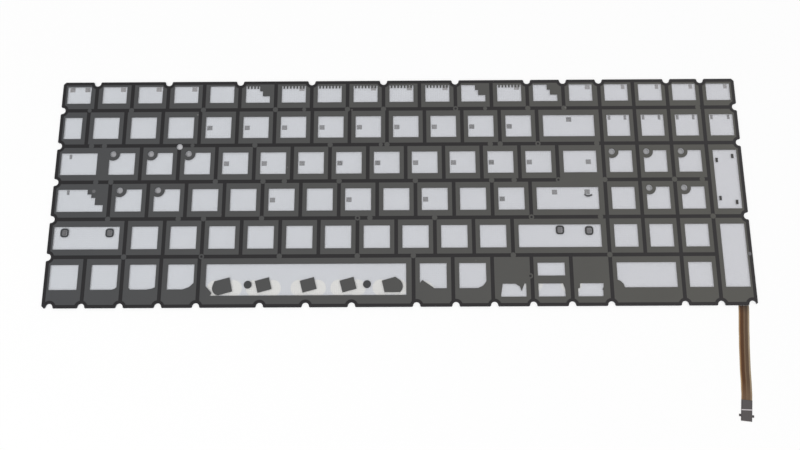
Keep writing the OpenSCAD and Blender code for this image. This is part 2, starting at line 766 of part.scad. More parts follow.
module mask_print() {
    color([0.34, 0.35, 0.35]) on_panel(print_z, print_t) difference() {
        sheet();
        difference() {
            windows();
            window_fills();
        }
        post_holes();
        for (i = [0:lamp_count - 1]) at_lamp(i) scale(1 + 2 * shade_gap / shade_w) shade_form(i);
    }
}

module ink_marks() {
    color([0.3, 0.31, 0.31]) on_panel(print_z, print_t) {
        spots();
        mark_bars();
    }
}

module shift_rings() {
    color([0.3, 0.31, 0.31]) on_panel(print_z, print_t) shift_ring_places() shift_ring();
}

module lamp_shade(i) {
    color([0.32, 0.33, 0.33]) on_panel(print_z, print_t) at_lamp(i) shade_form(i);
}

module mask_film() {
    color([0.85, 0.87, 0.9, 0.3]) on_panel(film_z, film_t) difference() {
        sheet();
        post_holes();
    }
}

module mask_glue() {
    color([0.8, 0.8, 0.8, 0.5]) on_panel(mask_glue_z, glue_t) edge_band();
}

module light_guide() {
    color([0.86, 0.89, 0.93, 0.4]) on_panel(guide_z, guide_t) difference() {
        sheet();
        post_holes();
        for (i = [0:lamp_count - 1]) at_lamp(i) lamp_footprint(lamp_gap);
    }
}

module guide_glue() {
    color([0.8, 0.8, 0.8, 0.5]) on_panel(guide_glue_z, glue_t) edge_band();
}

module guide_pads() {
    color([0.62, 0.63, 0.65]) on_panel(guide_glue_z, glue_t) difference() {
        glue_pads();
        post_holes();
    }
}

module reflector_sheet() {
    color([0.93, 0.94, 0.95]) on_panel(reflector_z, reflector_t) difference() {
        sheet();
        post_holes();
        for (i = [0:lamp_count - 1]) at_lamp(i) lamp_opening();
    }
}

module flex_tape() {
    color([0.75, 0.75, 0.75]) on_panel(tape_z, tape_t) difference() {
        flex_form(track_margin / 2);
        for (i = [0:lamp_count - 1]) at_lamp(i) lamp_opening();
    }
}

module flex_cover() {
    color([0.95, 0.94, 0.9]) on_panel(cover_z, cover_t) difference() {
        flex_form(0);
        for (i = [0:lamp_count - 1]) at_lamp(i) lamp_footprint(lamp_gap / 2);
    }
}

module flex_copper() {
    color([0.72, 0.45, 0.25]) on_panel(copper_z, copper_t) tracks();
}

module flex_base() {
    color([0.72, 0.5, 0.22]) on_panel(0, base_t) flex_form(0);
}

module lamp_solder() {
    color([0.75, 0.76, 0.78]) on_panel(cover_z, solder_t) solder_pads();
}

module place_lamp(i) {
    translate([lamp_x(i) - panel_w / 2, lamp_y - panel_d / 2, lamp_z]) rotate(lamp_tilt) children();
}

module lens_block() {
    lens_w = lamp_w - 6 * lamp_wall;
    lens_h = lamp_h - 2 * lamp_wall;
    translate([-lens_w / 2, lamp_d / 2 - lens_d, lamp_wall]) cube([lens_w, lens_d, lens_h]);
}

module lamp_case(i) {
    color([0.93, 0.93, 0.9]) place_lamp(i) difference() {
        translate([-lamp_w / 2, -lamp_d / 2, 0]) cube([lamp_w, lamp_d, lamp_h]);
        lens_block();
    }
}

module lamp_lens(i) {
    color([0.95, 0.85, 0.3]) place_lamp(i) lens_block();
}

module tail_ribbon() {
    color([0.5, 0.36, 0.22]) at_exit(0) ribbon();
}

module tail_tongue() {
    color([0.6, 0.45, 0.25]) at_exit(finger_t) at_tail_end() {
        linear_extrude(height = tail_t - finger_t) tongue_form();
    }
}

module tail_contacts() {
    color([0.85, 0.7, 0.35]) at_exit(0) at_tail_end() for (k = [-1.5:1.5]) {
        translate([k * finger_pitch - finger_w / 2, -tongue_l, 0]) cube([finger_w, finger_l, finger_t]);
    }
}

module tail_stiffener() {
    color([0.33, 0.32, 0.32]) at_exit(tail_t) at_tail_end() {
        linear_extrude(height = stiffener_t) tongue_form();
    }
}

bond_grid();
mask_print();
ink_marks();
shift_rings();
mask_film();
mask_glue();
light_guide();
guide_glue();
guide_pads();
reflector_sheet();
flex_tape();
flex_cover();
flex_copper();
flex_base();
lamp_solder();
for (i = [0:lamp_count - 1]) {
    lamp_shade(i);
    lamp_case(i);
    lamp_lens(i);
}
tail_ribbon();
tail_tongue();
tail_contacts();
tail_stiffener();
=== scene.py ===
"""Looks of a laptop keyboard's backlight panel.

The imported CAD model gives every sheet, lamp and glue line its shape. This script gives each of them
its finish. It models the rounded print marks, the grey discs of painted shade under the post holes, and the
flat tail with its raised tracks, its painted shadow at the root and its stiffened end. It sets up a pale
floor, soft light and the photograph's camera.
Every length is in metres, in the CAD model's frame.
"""

import logging
import math
from dataclasses import dataclass, replace
from enum import Enum
from functools import cache
from typing import Sequence

import bmesh
import bpy
from bmesh.types import BMEdge, BMesh, BMVert
from bpy.types import Material, Mesh, Node, NodeSocket, NodeTree, Object
from mathutils import Matrix, Vector


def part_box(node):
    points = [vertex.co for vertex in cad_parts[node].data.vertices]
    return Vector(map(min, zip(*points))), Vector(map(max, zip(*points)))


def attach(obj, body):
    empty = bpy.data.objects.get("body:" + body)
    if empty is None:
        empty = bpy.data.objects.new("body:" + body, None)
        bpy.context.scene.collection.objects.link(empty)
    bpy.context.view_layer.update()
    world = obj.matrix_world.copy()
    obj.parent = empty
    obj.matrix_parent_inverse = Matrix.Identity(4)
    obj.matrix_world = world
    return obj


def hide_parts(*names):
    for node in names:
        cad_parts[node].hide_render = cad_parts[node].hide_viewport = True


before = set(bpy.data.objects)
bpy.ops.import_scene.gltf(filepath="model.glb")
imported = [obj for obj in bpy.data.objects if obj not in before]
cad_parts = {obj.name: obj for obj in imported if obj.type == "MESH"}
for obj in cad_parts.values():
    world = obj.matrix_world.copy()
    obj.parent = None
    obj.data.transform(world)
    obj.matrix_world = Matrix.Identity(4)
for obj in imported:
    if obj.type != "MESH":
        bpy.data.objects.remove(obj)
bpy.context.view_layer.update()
MM = 0.001
BODY = "root"
LOG = logging.getLogger("backlight_panel")

Colour = tuple[float, float, float, float]
Place = tuple[float, float]
Outline = tuple[Place, ...]
Value = float | Sequence[float] | NodeSocket

# The panel's half width, over which the colours drift, and the effects' densities, shares and limits.
HALF_WIDTH = 170 * MM
SMUDGES_PER_METRE = 45.0
STREAKS_PER_METRE = (20.0, 900.0, 20.0)
STREAK_SHARE = 0.5
ROUGHNESS_LIMITS = (0.05, 1.0)
COAT_ROUGHNESS = 0.12
SPECKS_PER_METRE = 130.0
SPECK_RADIUS = 0.07
SPECK_CHANCE = (0.7, 1.0)
DOT_RIM = 0.05
# Steps of the round shapes, and the line along which a mesh's faces are sorted.
DISC_SEGMENTS = 48
ARC_STEPS = 14
SORT_LINE = Vector((1.0, 0.7, 0.3))


def paint(red: int, green: int, blue: int) -> Colour:
    """Turns a screen colour into the linear colour that a shader takes.

    Args:
        red: Red from 0 to 255.
        green: Green from 0 to 255.
        blue: Blue from 0 to 255.

    Returns:
        The linear colour with full opacity.
    """
    shares = [channel / 255 for channel in (red, green, blue)]
    linear = [c / 12.92 if c <= 0.04045 else ((c + 0.055) / 1.055) ** 2.4 for c in shares]
    return (*linear, 1.0)


WHITE: Colour = (1.0, 1.0, 1.0, 1.0)
DUST_COLOUR = paint(214, 212, 208)


class NodeBench:
    """A node tree with short calls that add a node and wire its inputs."""

    def __init__(self, tree: NodeTree) -> None:
        """Keeps the tree that the calls work on."""
        self.tree = tree

    def find(self, kind: str) -> Node:
        """Returns the tree's own node of this type."""
        return next(node for node in self.tree.nodes if node.type == kind)

    def wire(self, socket: NodeSocket, value: Value) -> None:
        """Links a socket's value into an input, or sets a plain value on it.

        Args:
            socket: The input.
            value: What it gets.
        """
        if isinstance(value, NodeSocket):
            self.tree.links.new(value, socket)
        else:
            socket.default_value = value

    def fill(self, node: Node, inputs: dict[str | int, Value]) -> None:
        """Gives a node's inputs their values, by name or number."""
        for name, value in inputs.items():
            self.wire(node.inputs[name], value)

    def add(self, kind: str, inputs: dict[str | int, Value] | None = None, **settings: object) -> Node:
        """Adds a node.

        Args:
            kind: The node's type name in Blender.
            inputs: What each input gets, by name or number.
            settings: Values for the node's own properties.

        Returns:
            The new node.
        """
        made = self.tree.nodes.new(kind)
        for name, value in settings.items():
            setattr(made, name, value)
        self.fill(made, inputs or {})
        return made

    def effect(self, group: NodeTree, inputs: dict[str, Value]) -> NodeSocket:
        """Places a shared group and returns its result."""
        return self.add("ShaderNodeGroup", inputs, node_tree=group).outputs[0]

    def math(self, operation: str, *values: Value) -> NodeSocket:
        """Adds a Math node with these inputs and returns its result."""
        return self.add("ShaderNodeMath", dict(enumerate(values)), operation=operation).outputs[0]

    def mix(self, share: Value, first: Value, second: Value) -> NodeSocket:
        """Mixes two colours and returns the mixed one."""
        made = self.add("ShaderNodeMix", {0: share, 6: first, 7: second}, data_type="RGBA")
        return made.outputs[2]

    def noise(self, position: Value, scale: Value, detail: float = 2.0) -> NodeSocket:
        """Adds a noise texture and returns its value, which is 0.5 on average."""
        made = self.add("ShaderNodeTexNoise", {"Vector": position, "Scale": scale, "Detail": detail})
        return made.outputs[0]

    def waver(self, position: Value, scale: Value, detail: float) -> NodeSocket:
        """Adds a noise texture and returns it spread over -1 to 1, which is 0 on average."""
        return self.math("MULTIPLY_ADD", self.noise(position, scale, detail), 2.0, -1.0)

    def band(self, value: Value, low: float, high: float) -> NodeSocket:
        """Maps a value's stretch from low to high onto 0 to 1, held at both ends."""
        made = self.add("ShaderNodeMapRange", {0: value, 1: low, 2: high, 3: 0.0, 4: 1.0})
        return made.outputs[0]

    def stretched(self, position: Value, scale: Sequence[float]) -> NodeSocket:
        """Scales a position by its own factor on each axis."""
        made = self.add("ShaderNodeVectorMath", {0: position, 1: scale}, operation="MULTIPLY")
        return made.outputs[0]

    def scaled(self, value: Value, factor: Value) -> NodeSocket:
        """Scales a position or colour by one factor."""
        made = self.add("ShaderNodeVectorMath", {0: value, "Scale": factor}, operation="SCALE")
        return made.outputs[0]


def new_group(
    name: str, inputs: dict[str, str], output: tuple[str, str]
) -> tuple[NodeBench, dict[str, NodeSocket], NodeSocket]:
    """Starts a shader node group.

    Args:
        name: The group's name.
        inputs: Each input's name and the kind of its socket.
        output: The output's name and the kind of its socket.

    Returns:
        The group's bench, its inputs by name, and the socket that takes its result.
    """
    group = bpy.data.node_groups.new(name, "ShaderNodeTree")
    for label, kind in inputs.items():
        group.interface.new_socket(label, in_out="INPUT", socket_type="NodeSocket" + kind)
    group.interface.new_socket(output[0], in_out="OUTPUT", socket_type="NodeSocket" + output[1])
    bench = NodeBench(group)
    entry = bench.add("NodeGroupInput")
    result = bench.add("NodeGroupOutput")
    return bench, {label: entry.outputs[label] for label in inputs}, result.inputs[output[0]]


@cache
def colour_drift() -> NodeTree:
    """Builds the group that fades one colour into another from left to right, with soft clouds.

    Returns:
        The group.
    """
    kinds = {
        "Position": "Vector", "Left": "Color", "Right": "Color", "Cloud": "Float", "Cloud Scale": "Float",
    }
    bench, given, result = new_group("colour_drift", kinds, ("Colour", "Color"))
    along = bench.add("ShaderNodeSeparateXYZ", {0: given["Position"]}).outputs[0]
    base = bench.mix(bench.band(along, -HALF_WIDTH, HALF_WIDTH), given["Left"], given["Right"])
    clouds = bench.waver(given["Position"], given["Cloud Scale"], detail=3.0)
    gain = bench.math("MULTIPLY_ADD", clouds, given["Cloud"], 1.0)
    bench.wire(result, bench.scaled(base, gain))
    return bench.tree


@cache
def handling() -> NodeTree:
    """Builds the group that varies roughness with broad smudges and thin rubbed streaks.

    Returns:
        The group.
    """
    kinds = {"Position": "Vector", "Base": "Float", "Spread": "Float"}
    bench, given, result = new_group("handling", kinds, ("Roughness", "Float"))
    smudges = bench.waver(given["Position"], SMUDGES_PER_METRE, detail=3.0)
    streaks = bench.waver(bench.stretched(given["Position"], STREAKS_PER_METRE), 1.0, detail=2.0)
    both = bench.math("MULTIPLY_ADD", streaks, STREAK_SHARE, smudges)
    rough = bench.math("MULTIPLY_ADD", both, given["Spread"], given["Base"])
    low, high = ROUGHNESS_LIMITS
    bench.wire(result, bench.add("ShaderNodeClamp", {0: rough, 1: low, 2: high}).outputs[0])
    return bench.tree


@cache
def dot_lattice() -> NodeTree:
    """Builds the group that marks round dots on a square lattice, 1 inside a dot and 0 outside.

    Returns:
        The group.
    """
    kinds = {"Position": "Vector", "Per Metre": "Float", "Radius": "Float"}
    bench, given, result = new_group("dot_lattice", kinds, ("Mask", "Float"))
    lattice = {"Vector": given["Position"], "Scale": given["Per Metre"], "Randomness": 0.0}
    cells = bench.add("ShaderNodeTexVoronoi", lattice, voronoi_dimensions="2D")
    inside = bench.math("SUBTRACT", given["Radius"], cells.outputs["Distance"])
    bench.wire(result, bench.band(inside, -DOT_RIM, DOT_RIM))
    return bench.tree


@cache
def dust() -> NodeTree:
    """Builds the group that scatters a few small pale specks.

    Returns:
        The group.
    """
    bench, given, result = new_group("dust", {"Position": "Vector", "Per Metre": "Float"}, ("Mask", "Float"))
    cells = bench.add("ShaderNodeTexVoronoi", {"Vector": given["Position"], "Scale": given["Per Metre"]})
    small = bench.math("LESS_THAN", cells.outputs["Distance"], SPECK_RADIUS)
    shade = bench.add("ShaderNodeSeparateColor", {0: cells.outputs["Color"]}).outputs[0]
    bench.wire(result, bench.math("MULTIPLY", small, bench.band(shade, *SPECK_CHANCE)))
    return bench.tree


class Relief(Enum):
    """The fine surface shape of a finish."""

    PRINTED = "printed"
    ROLLED = "rolled"
    GLUED = "glued"
    MOULDED = "moulded"


@cache
def relief_height(relief: Relief) -> NodeTree:
    """Builds the group that gives the height of a fine surface shape.

    Args:
        relief: Which surface shape.

    Returns:
        A group with Position and Per Metre in, and Height out.
    """
    kinds = {"Position": "Vector", "Per Metre": "Float"}
    bench, given, result = new_group("relief_" + relief.value, kinds, ("Height", "Float"))
    scaled = bench.scaled(given["Position"], given["Per Metre"])
    if relief is Relief.PRINTED:
        # The weave of a screen, one wave to a thread, under ink that lies unevenly.
        parts = bench.add("ShaderNodeSeparateXYZ", {0: scaled}).outputs
        waves = [bench.math("SINE", bench.math("MULTIPLY", parts[axis], 2 * math.pi)) for axis in (0, 1)]
        height = bench.math("ADD", bench.math("MULTIPLY", *waves), bench.noise(scaled, 0.4, detail=4.0))
    elif relief is Relief.ROLLED:
        # Lines drawn out along X.
        height = bench.noise(bench.stretched(scaled, (0.06, 1.0, 1.0)), 1.0, detail=4.0)
    elif relief is Relief.GLUED:
        # Rounded beads on broad waves.
        cells = bench.add("ShaderNodeTexVoronoi", {"Vector": scaled, "Scale": 1.0}, feature="SMOOTH_F1")
        height = bench.math("ADD", cells.outputs["Distance"], bench.noise(scaled, 0.3))
    else:
        height = bench.noise(scaled, 1.0, detail=5.0)
    bench.wire(result, height)
    return bench.tree


@dataclass(frozen=True)
class Finish:
    """A surface with a drifting colour, handled gloss and fine relief.

    Attributes:
        name: The material's name.
        left: Colour at the panel's left end.
        right: Colour at its right end, where that differs.
        cloud: How much soft clouds lighten and darken the colour.
        cloud_size: Width of such a cloud.
        roughness: Middle roughness.
        spread: How far smudges move it.
        relief: The fine surface shape.
        relief_size: Spacing of that shape.
        relief_height: Its height.
        specular: Strength of the plain reflection.
        metallic: 1 on metal.
        coat: Strength of a clear gloss over the colour.
        alpha: Opacity.
        specks: How much dust shows.
    """

    name: str
    left: Colour
    right: Colour | None = None
    cloud: float = 0.05
    cloud_size: float = 30 * MM
    roughness: float = 0.5
    spread: float = 0.06
    relief: Relief = Relief.MOULDED
    relief_size: float = 0.4 * MM
    relief_height: float = 0.004 * MM
    specular: float = 0.2
    metallic: float = 0.0
    coat: float = 0.0
    alpha: float = 1.0
    specks: float = 0.0

    def varied(self, name: str, left: Colour, right: Colour | None = None, **changes: object) -> "Finish":
        """Returns a finish like this one, with a name and colour of its own."""
        return replace(self, name=name, left=left, right=right, **changes)

    def colour(self, bench: NodeBench, position: NodeSocket) -> NodeSocket:
        """Builds the colour over the surface.

        Args:
            bench: The material's bench.
            position: The place on the object.

        Returns:
            The colour's socket.
        """
        drift = {"Position": position, "Left": self.left, "Right": self.right or self.left}
        clouds = {"Cloud": self.cloud, "Cloud Scale": 1 / self.cloud_size}
        base = bench.effect(colour_drift(), drift | clouds)
        if not self.specks:
            return base
        mask = bench.effect(dust(), {"Position": position, "Per Metre": SPECKS_PER_METRE})
        return bench.mix(bench.math("MULTIPLY", mask, self.specks), base, DUST_COLOUR)

    def opacity(self, bench: NodeBench, position: NodeSocket) -> Value:
        """Returns the opacity, which is even unless a finish says otherwise."""
        return self.alpha

    @cache
    def material(self) -> Material:
        """Builds the material once, and returns the same one after that.

        Returns:
            The material with this finish.
        """
        made = bpy.data.materials.new("finish_" + self.name)
        made.use_nodes = True
        bench = NodeBench(made.node_tree)
        position = bench.add("ShaderNodeTexCoord").outputs["Object"]
        rough = {"Position": position, "Base": self.roughness, "Spread": self.spread}
        fine = {"Position": position, "Per Metre": 1 / self.relief_size}
        height = bench.effect(relief_height(self.relief), fine)
        raised = {"Height": height, "Strength": 1.0, "Distance": self.relief_height}
        bump = bench.add("ShaderNodeBump", raised)
        bench.fill(bench.find("BSDF_PRINCIPLED"), {
            "Base Color": self.colour(bench, position), "Roughness": bench.effect(handling(), rough),
            "Normal": bump.outputs[0], "Alpha": self.opacity(bench, position), "Metallic": self.metallic,
            "Specular IOR Level": self.specular, "Coat Weight": self.coat, "Coat Roughness": COAT_ROUGHNESS,
        })
        return made


@dataclass(frozen=True)
class DottedClear(Finish):
    """A clear sheet with the small dots that lead its light out.

    Attributes:
        dot_pitch: Spacing of the dots.
        dot_share: Radius of a dot as a share of the spacing.
        dot_alpha: How much more opaque a dot is.
    """

    dot_pitch: float = 0.9 * MM
    dot_share: float = 0.3
    dot_alpha: float = 0.05

    def opacity(self, bench: NodeBench, position: NodeSocket) -> Value:
        """Adds the dots to the sheet's even opacity.

        Args:
            bench: The material's bench.
            position: The place on the object.

        Returns:
            The opacity's socket.
        """
        given = {"Position": position, "Per Metre": 1 / self.dot_pitch, "Radius": self.dot_share}
        return bench.math("MULTIPLY_ADD", bench.effect(dot_lattice(), given), self.dot_alpha, self.alpha)


@dataclass(frozen=True)
class BandedFilm(Finish):
    """A film whose bands of colour run along it, from its left colour to the right across its width.

    Attributes:
        bands: Where each further band starts across the width, from 0 to 1, and its colour.
        blend: Width of the soft change between two bands.
        root_painted_shadow: How much darker the film is painted at its start, as the shadow of the panel's
            edge.
        root_shadow_colour: The painted shadow's colour.
        root_shadow_length: Length of that painted shadow.
        end_wash: How far its colour goes over to the end's colour.
        end_range: Where along the film that starts, and where it is full.
        end_colour: The end's colour.
        streaks: Fine streaks to the width, and their changes to a metre of length.
    """

    bands: tuple[tuple[float, Colour], ...] = ()
    blend: float = 0.06
    root_painted_shadow: float = 0.0
    root_shadow_colour: Colour = (0.01, 0.008, 0.007, 1.0)
    root_shadow_length: float = 4.0 * MM
    end_wash: float = 0.0
    end_range: tuple[float, float] = (35.0 * MM, 42.0 * MM)
    end_colour: Colour = paint(120, 98, 78)
    streaks: tuple[float, float, float] = (22.0, 60.0, 1.0)

    def colour(self, bench: NodeBench, position: NodeSocket) -> NodeSocket:
        """Builds the bands, with fine streaks along them.

        Args:
            bench: The material's bench.
            position: The place on the object.

        Returns:
            The colour's socket.
        """
        across, along = (
            bench.add("ShaderNodeAttribute", attribute_name=name).outputs["Fac"]
            for name in ("across", "along")
        )
        base = self.left
        half = self.blend / 2
        for start, colour in self.bands:
            base = bench.mix(bench.band(across, start - half, start + half), base, colour)
        # Painted shadow: the film is darkened towards its start, where the panel's edge shades it.
        if self.root_painted_shadow:
            dark = bench.math("MULTIPLY", bench.band(along, self.root_shadow_length, 0.0), self.root_painted_shadow)
            base = bench.mix(dark, base, self.root_shadow_colour)
        if self.end_wash:
            washed = bench.math("MULTIPLY", bench.band(along, *self.end_range), self.end_wash)
            base = bench.mix(washed, base, self.end_colour)
        place = bench.add("ShaderNodeCombineXYZ", {0: across, 1: along}).outputs[0]
        streaks = bench.waver(bench.stretched(place, self.streaks), 1.0, detail=3.0)
        return bench.scaled(base, bench.math("MULTIPLY_ADD", streaks, self.cloud, 1.0))


@dataclass(frozen=True)
class RowTinted(Finish):
    """A finish with a colour of its own in the function row.

    Attributes:
        row_colour: Its colour there.
        row_from: Y from which that row starts.
        row_blend: Width of the change.
    """

    row_colour: Colour = paint(140, 137, 138)
    row_from: float = 42.0 * MM
    row_blend: float = 0.5 * MM

    def colour(self, bench: NodeBench, position: NodeSocket) -> NodeSocket:
        """Mixes the row's colour over the finish's own.

        Args:
            bench: The material's bench.
            position: The place on the object.

        Returns:
            The colour's socket.
        """
        depth = bench.add("ShaderNodeSeparateXYZ", {0: position}).outputs[1]
        share = bench.band(depth, self.row_from, self.row_from + self.row_blend)
        return bench.mix(share, super().colour(bench, position), self.row_colour)


BOND_GLUE = Finish(
    "bond_glue", paint(28, 27, 29), paint(43, 41, 42), cloud=0.08, cloud_size=12 * MM, roughness=0.55,
    spread=0.1, relief=Relief.GLUED, relief_size=0.35 * MM, relief_height=0.006 * MM, specks=0.08,
)
MARK_INK = Finish(
    "mark_ink", paint(60, 62, 65), paint(64, 63, 62), cloud_size=10 * MM, roughness=0.6,
    relief=Relief.PRINTED, relief_size=0.16 * MM, relief_height=0.003 * MM,
)
MASK_INK = MARK_INK.varied(
    "mask_ink", paint(69, 70, 72), paint(85, 84, 80), cloud_size=20 * MM, specks=0.12
)
BAR_INK = MARK_INK.varied("bar_ink", paint(82, 82, 85))
SPOT_INK = MARK_INK.varied("edge_spot", paint(104, 104, 106), cloud=0.08, cloud_size=1 * MM)
CLEAR_FILM = Finish(
    "clear_film", paint(244, 245, 248), paint(245, 245, 247), cloud=0.03, roughness=0.22, spread=0.05,
    relief=Relief.ROLLED, relief_size=2.0 * MM, relief_height=0.002 * MM, alpha=0.06,
)
CLEAR_GLUE = Finish(
    "clear_glue", paint(202, 203, 204), roughness=0.35, relief=Relief.GLUED, relief_size=0.5 * MM, alpha=0.4
)
PAD_GLUE = RowTinted(
    "pad_glue", paint(104, 105, 109), paint(108, 107, 108), cloud_size=2 * MM, roughness=0.6,
    relief=Relief.GLUED, relief_height=0.006 * MM,
)
RING_PAD = Finish(
    "ring_pad", paint(104, 104, 106), paint(118, 116, 118), cloud=0.3, cloud_size=1.2 * MM, roughness=0.6,
    relief=Relief.GLUED, relief_height=0.006 * MM,
)
LIGHT_GUIDE = DottedClear(
    "light_guide", paint(244, 246, 250), paint(246, 246, 249), cloud=0.03, roughness=0.2,
    relief=Relief.ROLLED, relief_size=1.5 * MM, relief_height=0.002 * MM, alpha=0.08,
)
REFLECTOR = Finish(
    "reflector", paint(216, 220, 226), paint(216, 217, 223), cloud=0.03, cloud_size=50 * MM,
    relief=Relief.ROLLED, relief_size=0.8 * MM,
)
PATCH_WHITE = Finish(
    "patch_white", paint(236, 236, 232), cloud=0.04, cloud_size=4 * MM, roughness=0.6,
    relief=Relief.GLUED, relief_size=0.3 * MM,
)
# Painted shade: grey discs under the post holes stand for the shade seen down each hole, one of them
# lighter.
HOLE_SHADE = Finish(
    "hole_painted_shade", paint(162, 162, 165), paint(158, 158, 160), cloud=0.08, cloud_size=1.5 * MM,
    relief=Relief.ROLLED, relief_size=0.3 * MM,
)
HOLE_SHADE_BRIGHT = HOLE_SHADE.varied("hole_painted_shade_bright", paint(196, 196, 199), cloud=0.06)
TAPE = Finish(
    "tape", paint(196, 194, 190), cloud=0.08, cloud_size=4 * MM, roughness=0.7,
    relief=Relief.GLUED, relief_size=0.6 * MM, relief_height=0.01 * MM,
)
COVER_FILM = Finish(
    "cover_film", paint(240, 239, 234), cloud=0.03, roughness=0.4, relief=Relief.ROLLED, relief_size=0.5 * MM
)
COPPER = Finish(
    "copper", paint(201, 125, 82), cloud=0.12, cloud_size=4 * MM, roughness=0.35,
    relief=Relief.ROLLED, relief_size=0.2 * MM, metallic=1.0,
)
BASE_FILM = Finish(
    "base_film", paint(176, 116, 46), paint(170, 112, 46), cloud=0.06, roughness=0.28, spread=0.08,
    relief=Relief.ROLLED, relief_size=0.7 * MM, coat=0.4, alpha=0.62,
)
SOLDER = Finish(
    "solder", paint(204, 206, 210), cloud=0.1, cloud_size=0.6 * MM, roughness=0.25,
    relief_size=0.3 * MM, relief_height=0.02 * MM, metallic=1.0,
)
LAMP_CASE = Finish(
    "lamp_case", paint(238, 237, 231), cloud=0.02, roughness=0.4, relief_size=0.1 * MM,
    relief_height=0.002 * MM,
)
PHOSPHOR = Finish(
    "phosphor", paint(240, 214, 84), cloud=0.1, cloud_size=0.4 * MM, roughness=0.35,
    relief=Relief.GLUED, relief_size=0.08 * MM, relief_height=0.006 * MM, coat=0.5,
)
# The tail's film, with its start painted darker as the shadow of the panel's edge.
TAIL_FILM = BandedFilm(
    "tail_film", paint(166, 140, 106), cloud=0.12, roughness=0.38, spread=0.08,
    relief=Relief.ROLLED, relief_size=0.25 * MM, specular=0.15, root_painted_shadow=0.55, end_wash=0.5,
    bands=(
        (0.09, paint(112, 76, 46)), (0.17, paint(79, 52, 31)), (0.45, paint(110, 89, 68)),
        (0.56, paint(88, 69, 53)), (0.85, paint(154, 137, 113)),
    ),
)
STIFFENER = BandedFilm(
    "stiffener", paint(66, 62, 64), cloud=0.08, spread=0.08, relief_size=0.12 * MM,
    bands=((0.08, paint(83, 79, 79)), (0.92, paint(76, 73, 75))),
)
WHITE_LINE = Finish(
    "white_line", paint(196, 190, 192), cloud=0.06, cloud_size=1 * MM, roughness=0.6,
    relief=Relief.PRINTED, relief_size=0.1 * MM,
)
TONGUE_FILM = Finish(
    "tongue_film", paint(132, 92, 48), cloud=0.08, cloud_size=3 * MM, roughness=0.3,
    relief=Relief.ROLLED, relief_size=0.3 * MM, coat=0.4,
)
CONTACTS = Finish(
    "contact_plating", paint(224, 184, 98), cloud=0.08, cloud_size=1 * MM, roughness=0.28,
    relief=Relief.ROLLED, relief_size=0.1 * MM, metallic=1.0,
)


def dress(finish: Finish, *names: str) -> None:
    """Gives CAD nodes a finish, through the material slots that they have.

    Args:
        finish: The finish.
        names: The nodes' names.
    """
    made = finish.material()
    for name in names:
        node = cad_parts[name]
        if not node.material_slots:
            node.data.materials.append(made)
        for slot in node.material_slots:
            slot.material = made
        LOG.info("dressed %s with %s", name, finish.name)


def place_object(name: str, data: bpy.types.ID) -> Object:
    """Makes an object of this data and links it to the scene.

    Args:
        name: The object's name.
        data: Its mesh, lamp or camera data.

    Returns:
        The object.
    """
    made = bpy.data.objects.new(name, data)
    bpy.context.scene.collection.objects.link(made)
    return made


def to_mesh(name: str, shape: BMesh) -> Mesh:
    """Turns a finished shape into a mesh, and frees the shape.

    An extrusion leaves its faces in an order that changes from run to run, so they are sorted first.

    Args:
        name: The mesh's name.
        shape: The shape.

    Returns:
        The mesh.
    """
    shape.faces.sort(key=lambda face: face.calc_center_median().dot(SORT_LINE))
    mesh = bpy.data.meshes.new(name)
    shape.to_mesh(mesh)
    shape.free()
    return mesh


def make_piece(name: str, shape: BMesh, finish: Finish) -> Object:
    """Turns a finished shape into a piece that rides on the panel.

    Args:
        name: The piece's name.
        shape: Its shape, in place, which is freed here.
        finish: Its finish.

    Returns:
        The new object.
    """
    mesh = to_mesh(name, shape)
    mesh.materials.append(finish.material())
    made = place_object(name, mesh)
    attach(made, BODY)
    LOG.info("made %s: %d faces", name, len(mesh.polygons))
    return made


def flat(outline: Sequence[Place], height: float = 0.0) -> BMesh:
    """Starts a flat shape with this outline at this height.

    Args:
        outline: Its corners, as X and Y.
        height: Its height.

    Returns:
        The shape, with one face.
    """
    shape = bmesh.new()
    shape.faces.new([shape.verts.new((x, y, height)) for x, y in outline])
    return shape


def thicken(shape: BMesh, thickness: float) -> None:
    """Makes a flat shape a plate, from its own height upwards.

    Args:
        shape: The flat shape.
        thickness: The plate's thickness.
    """
    raised = bmesh.ops.extrude_face_region(shape, geom=shape.faces[:])
    tops = [part for part in raised["geom"] if isinstance(part, BMVert)]
    bmesh.ops.translate(shape, verts=tops, vec=(0, 0, thickness))


def soften(shape: BMesh, parts: Sequence[BMVert | BMEdge], width: float, segments: int) -> None:
    """Bevels edges, or rounds the corners at vertices.

    Args:
        shape: The shape that they belong to.
        parts: The edges or the vertices.
        width: Width of the bevel.
        segments: Faces across it.
    """
    affect = "VERTICES" if isinstance(parts[0], BMVert) else "EDGES"
    bmesh.ops.bevel(
        shape, geom=parts, offset=width, segments=segments, profile=0.5, affect=affect, material=-1
    )


def soften_top(shape: BMesh, above: float, width: float, segments: int) -> None:
    """Bevels the edges of a plate's top.

    Args:
        shape: The plate.
        above: A height between its underside and its top.
        width: Width of the bevel.
        segments: Faces across it.
    """
    rim = [edge for edge in shape.edges if all(vertex.co.z > above for vertex in edge.verts)]
    soften(shape, rim, width, segments)


def disc(radius: float, thickness: float, place: tuple[float, float, float]) -> BMesh:
    """Starts a thin disc with a softened rim.

    Args:
        radius: Its radius.
        thickness: Its thickness.
        place: The middle of its underside.

    Returns:
        The disc's shape.
    """
    shape = bmesh.new()
    bmesh.ops.create_circle(shape, cap_ends=True, segments=DISC_SEGMENTS, radius=radius)
    thicken(shape, thickness)
    soften_top(shape, thickness / 2, thickness / 3, segments=1)
    bmesh.ops.recalc_face_normals(shape, faces=shape.faces[:])
    bmesh.ops.translate(shape, verts=shape.verts[:], vec=place)
    return shape


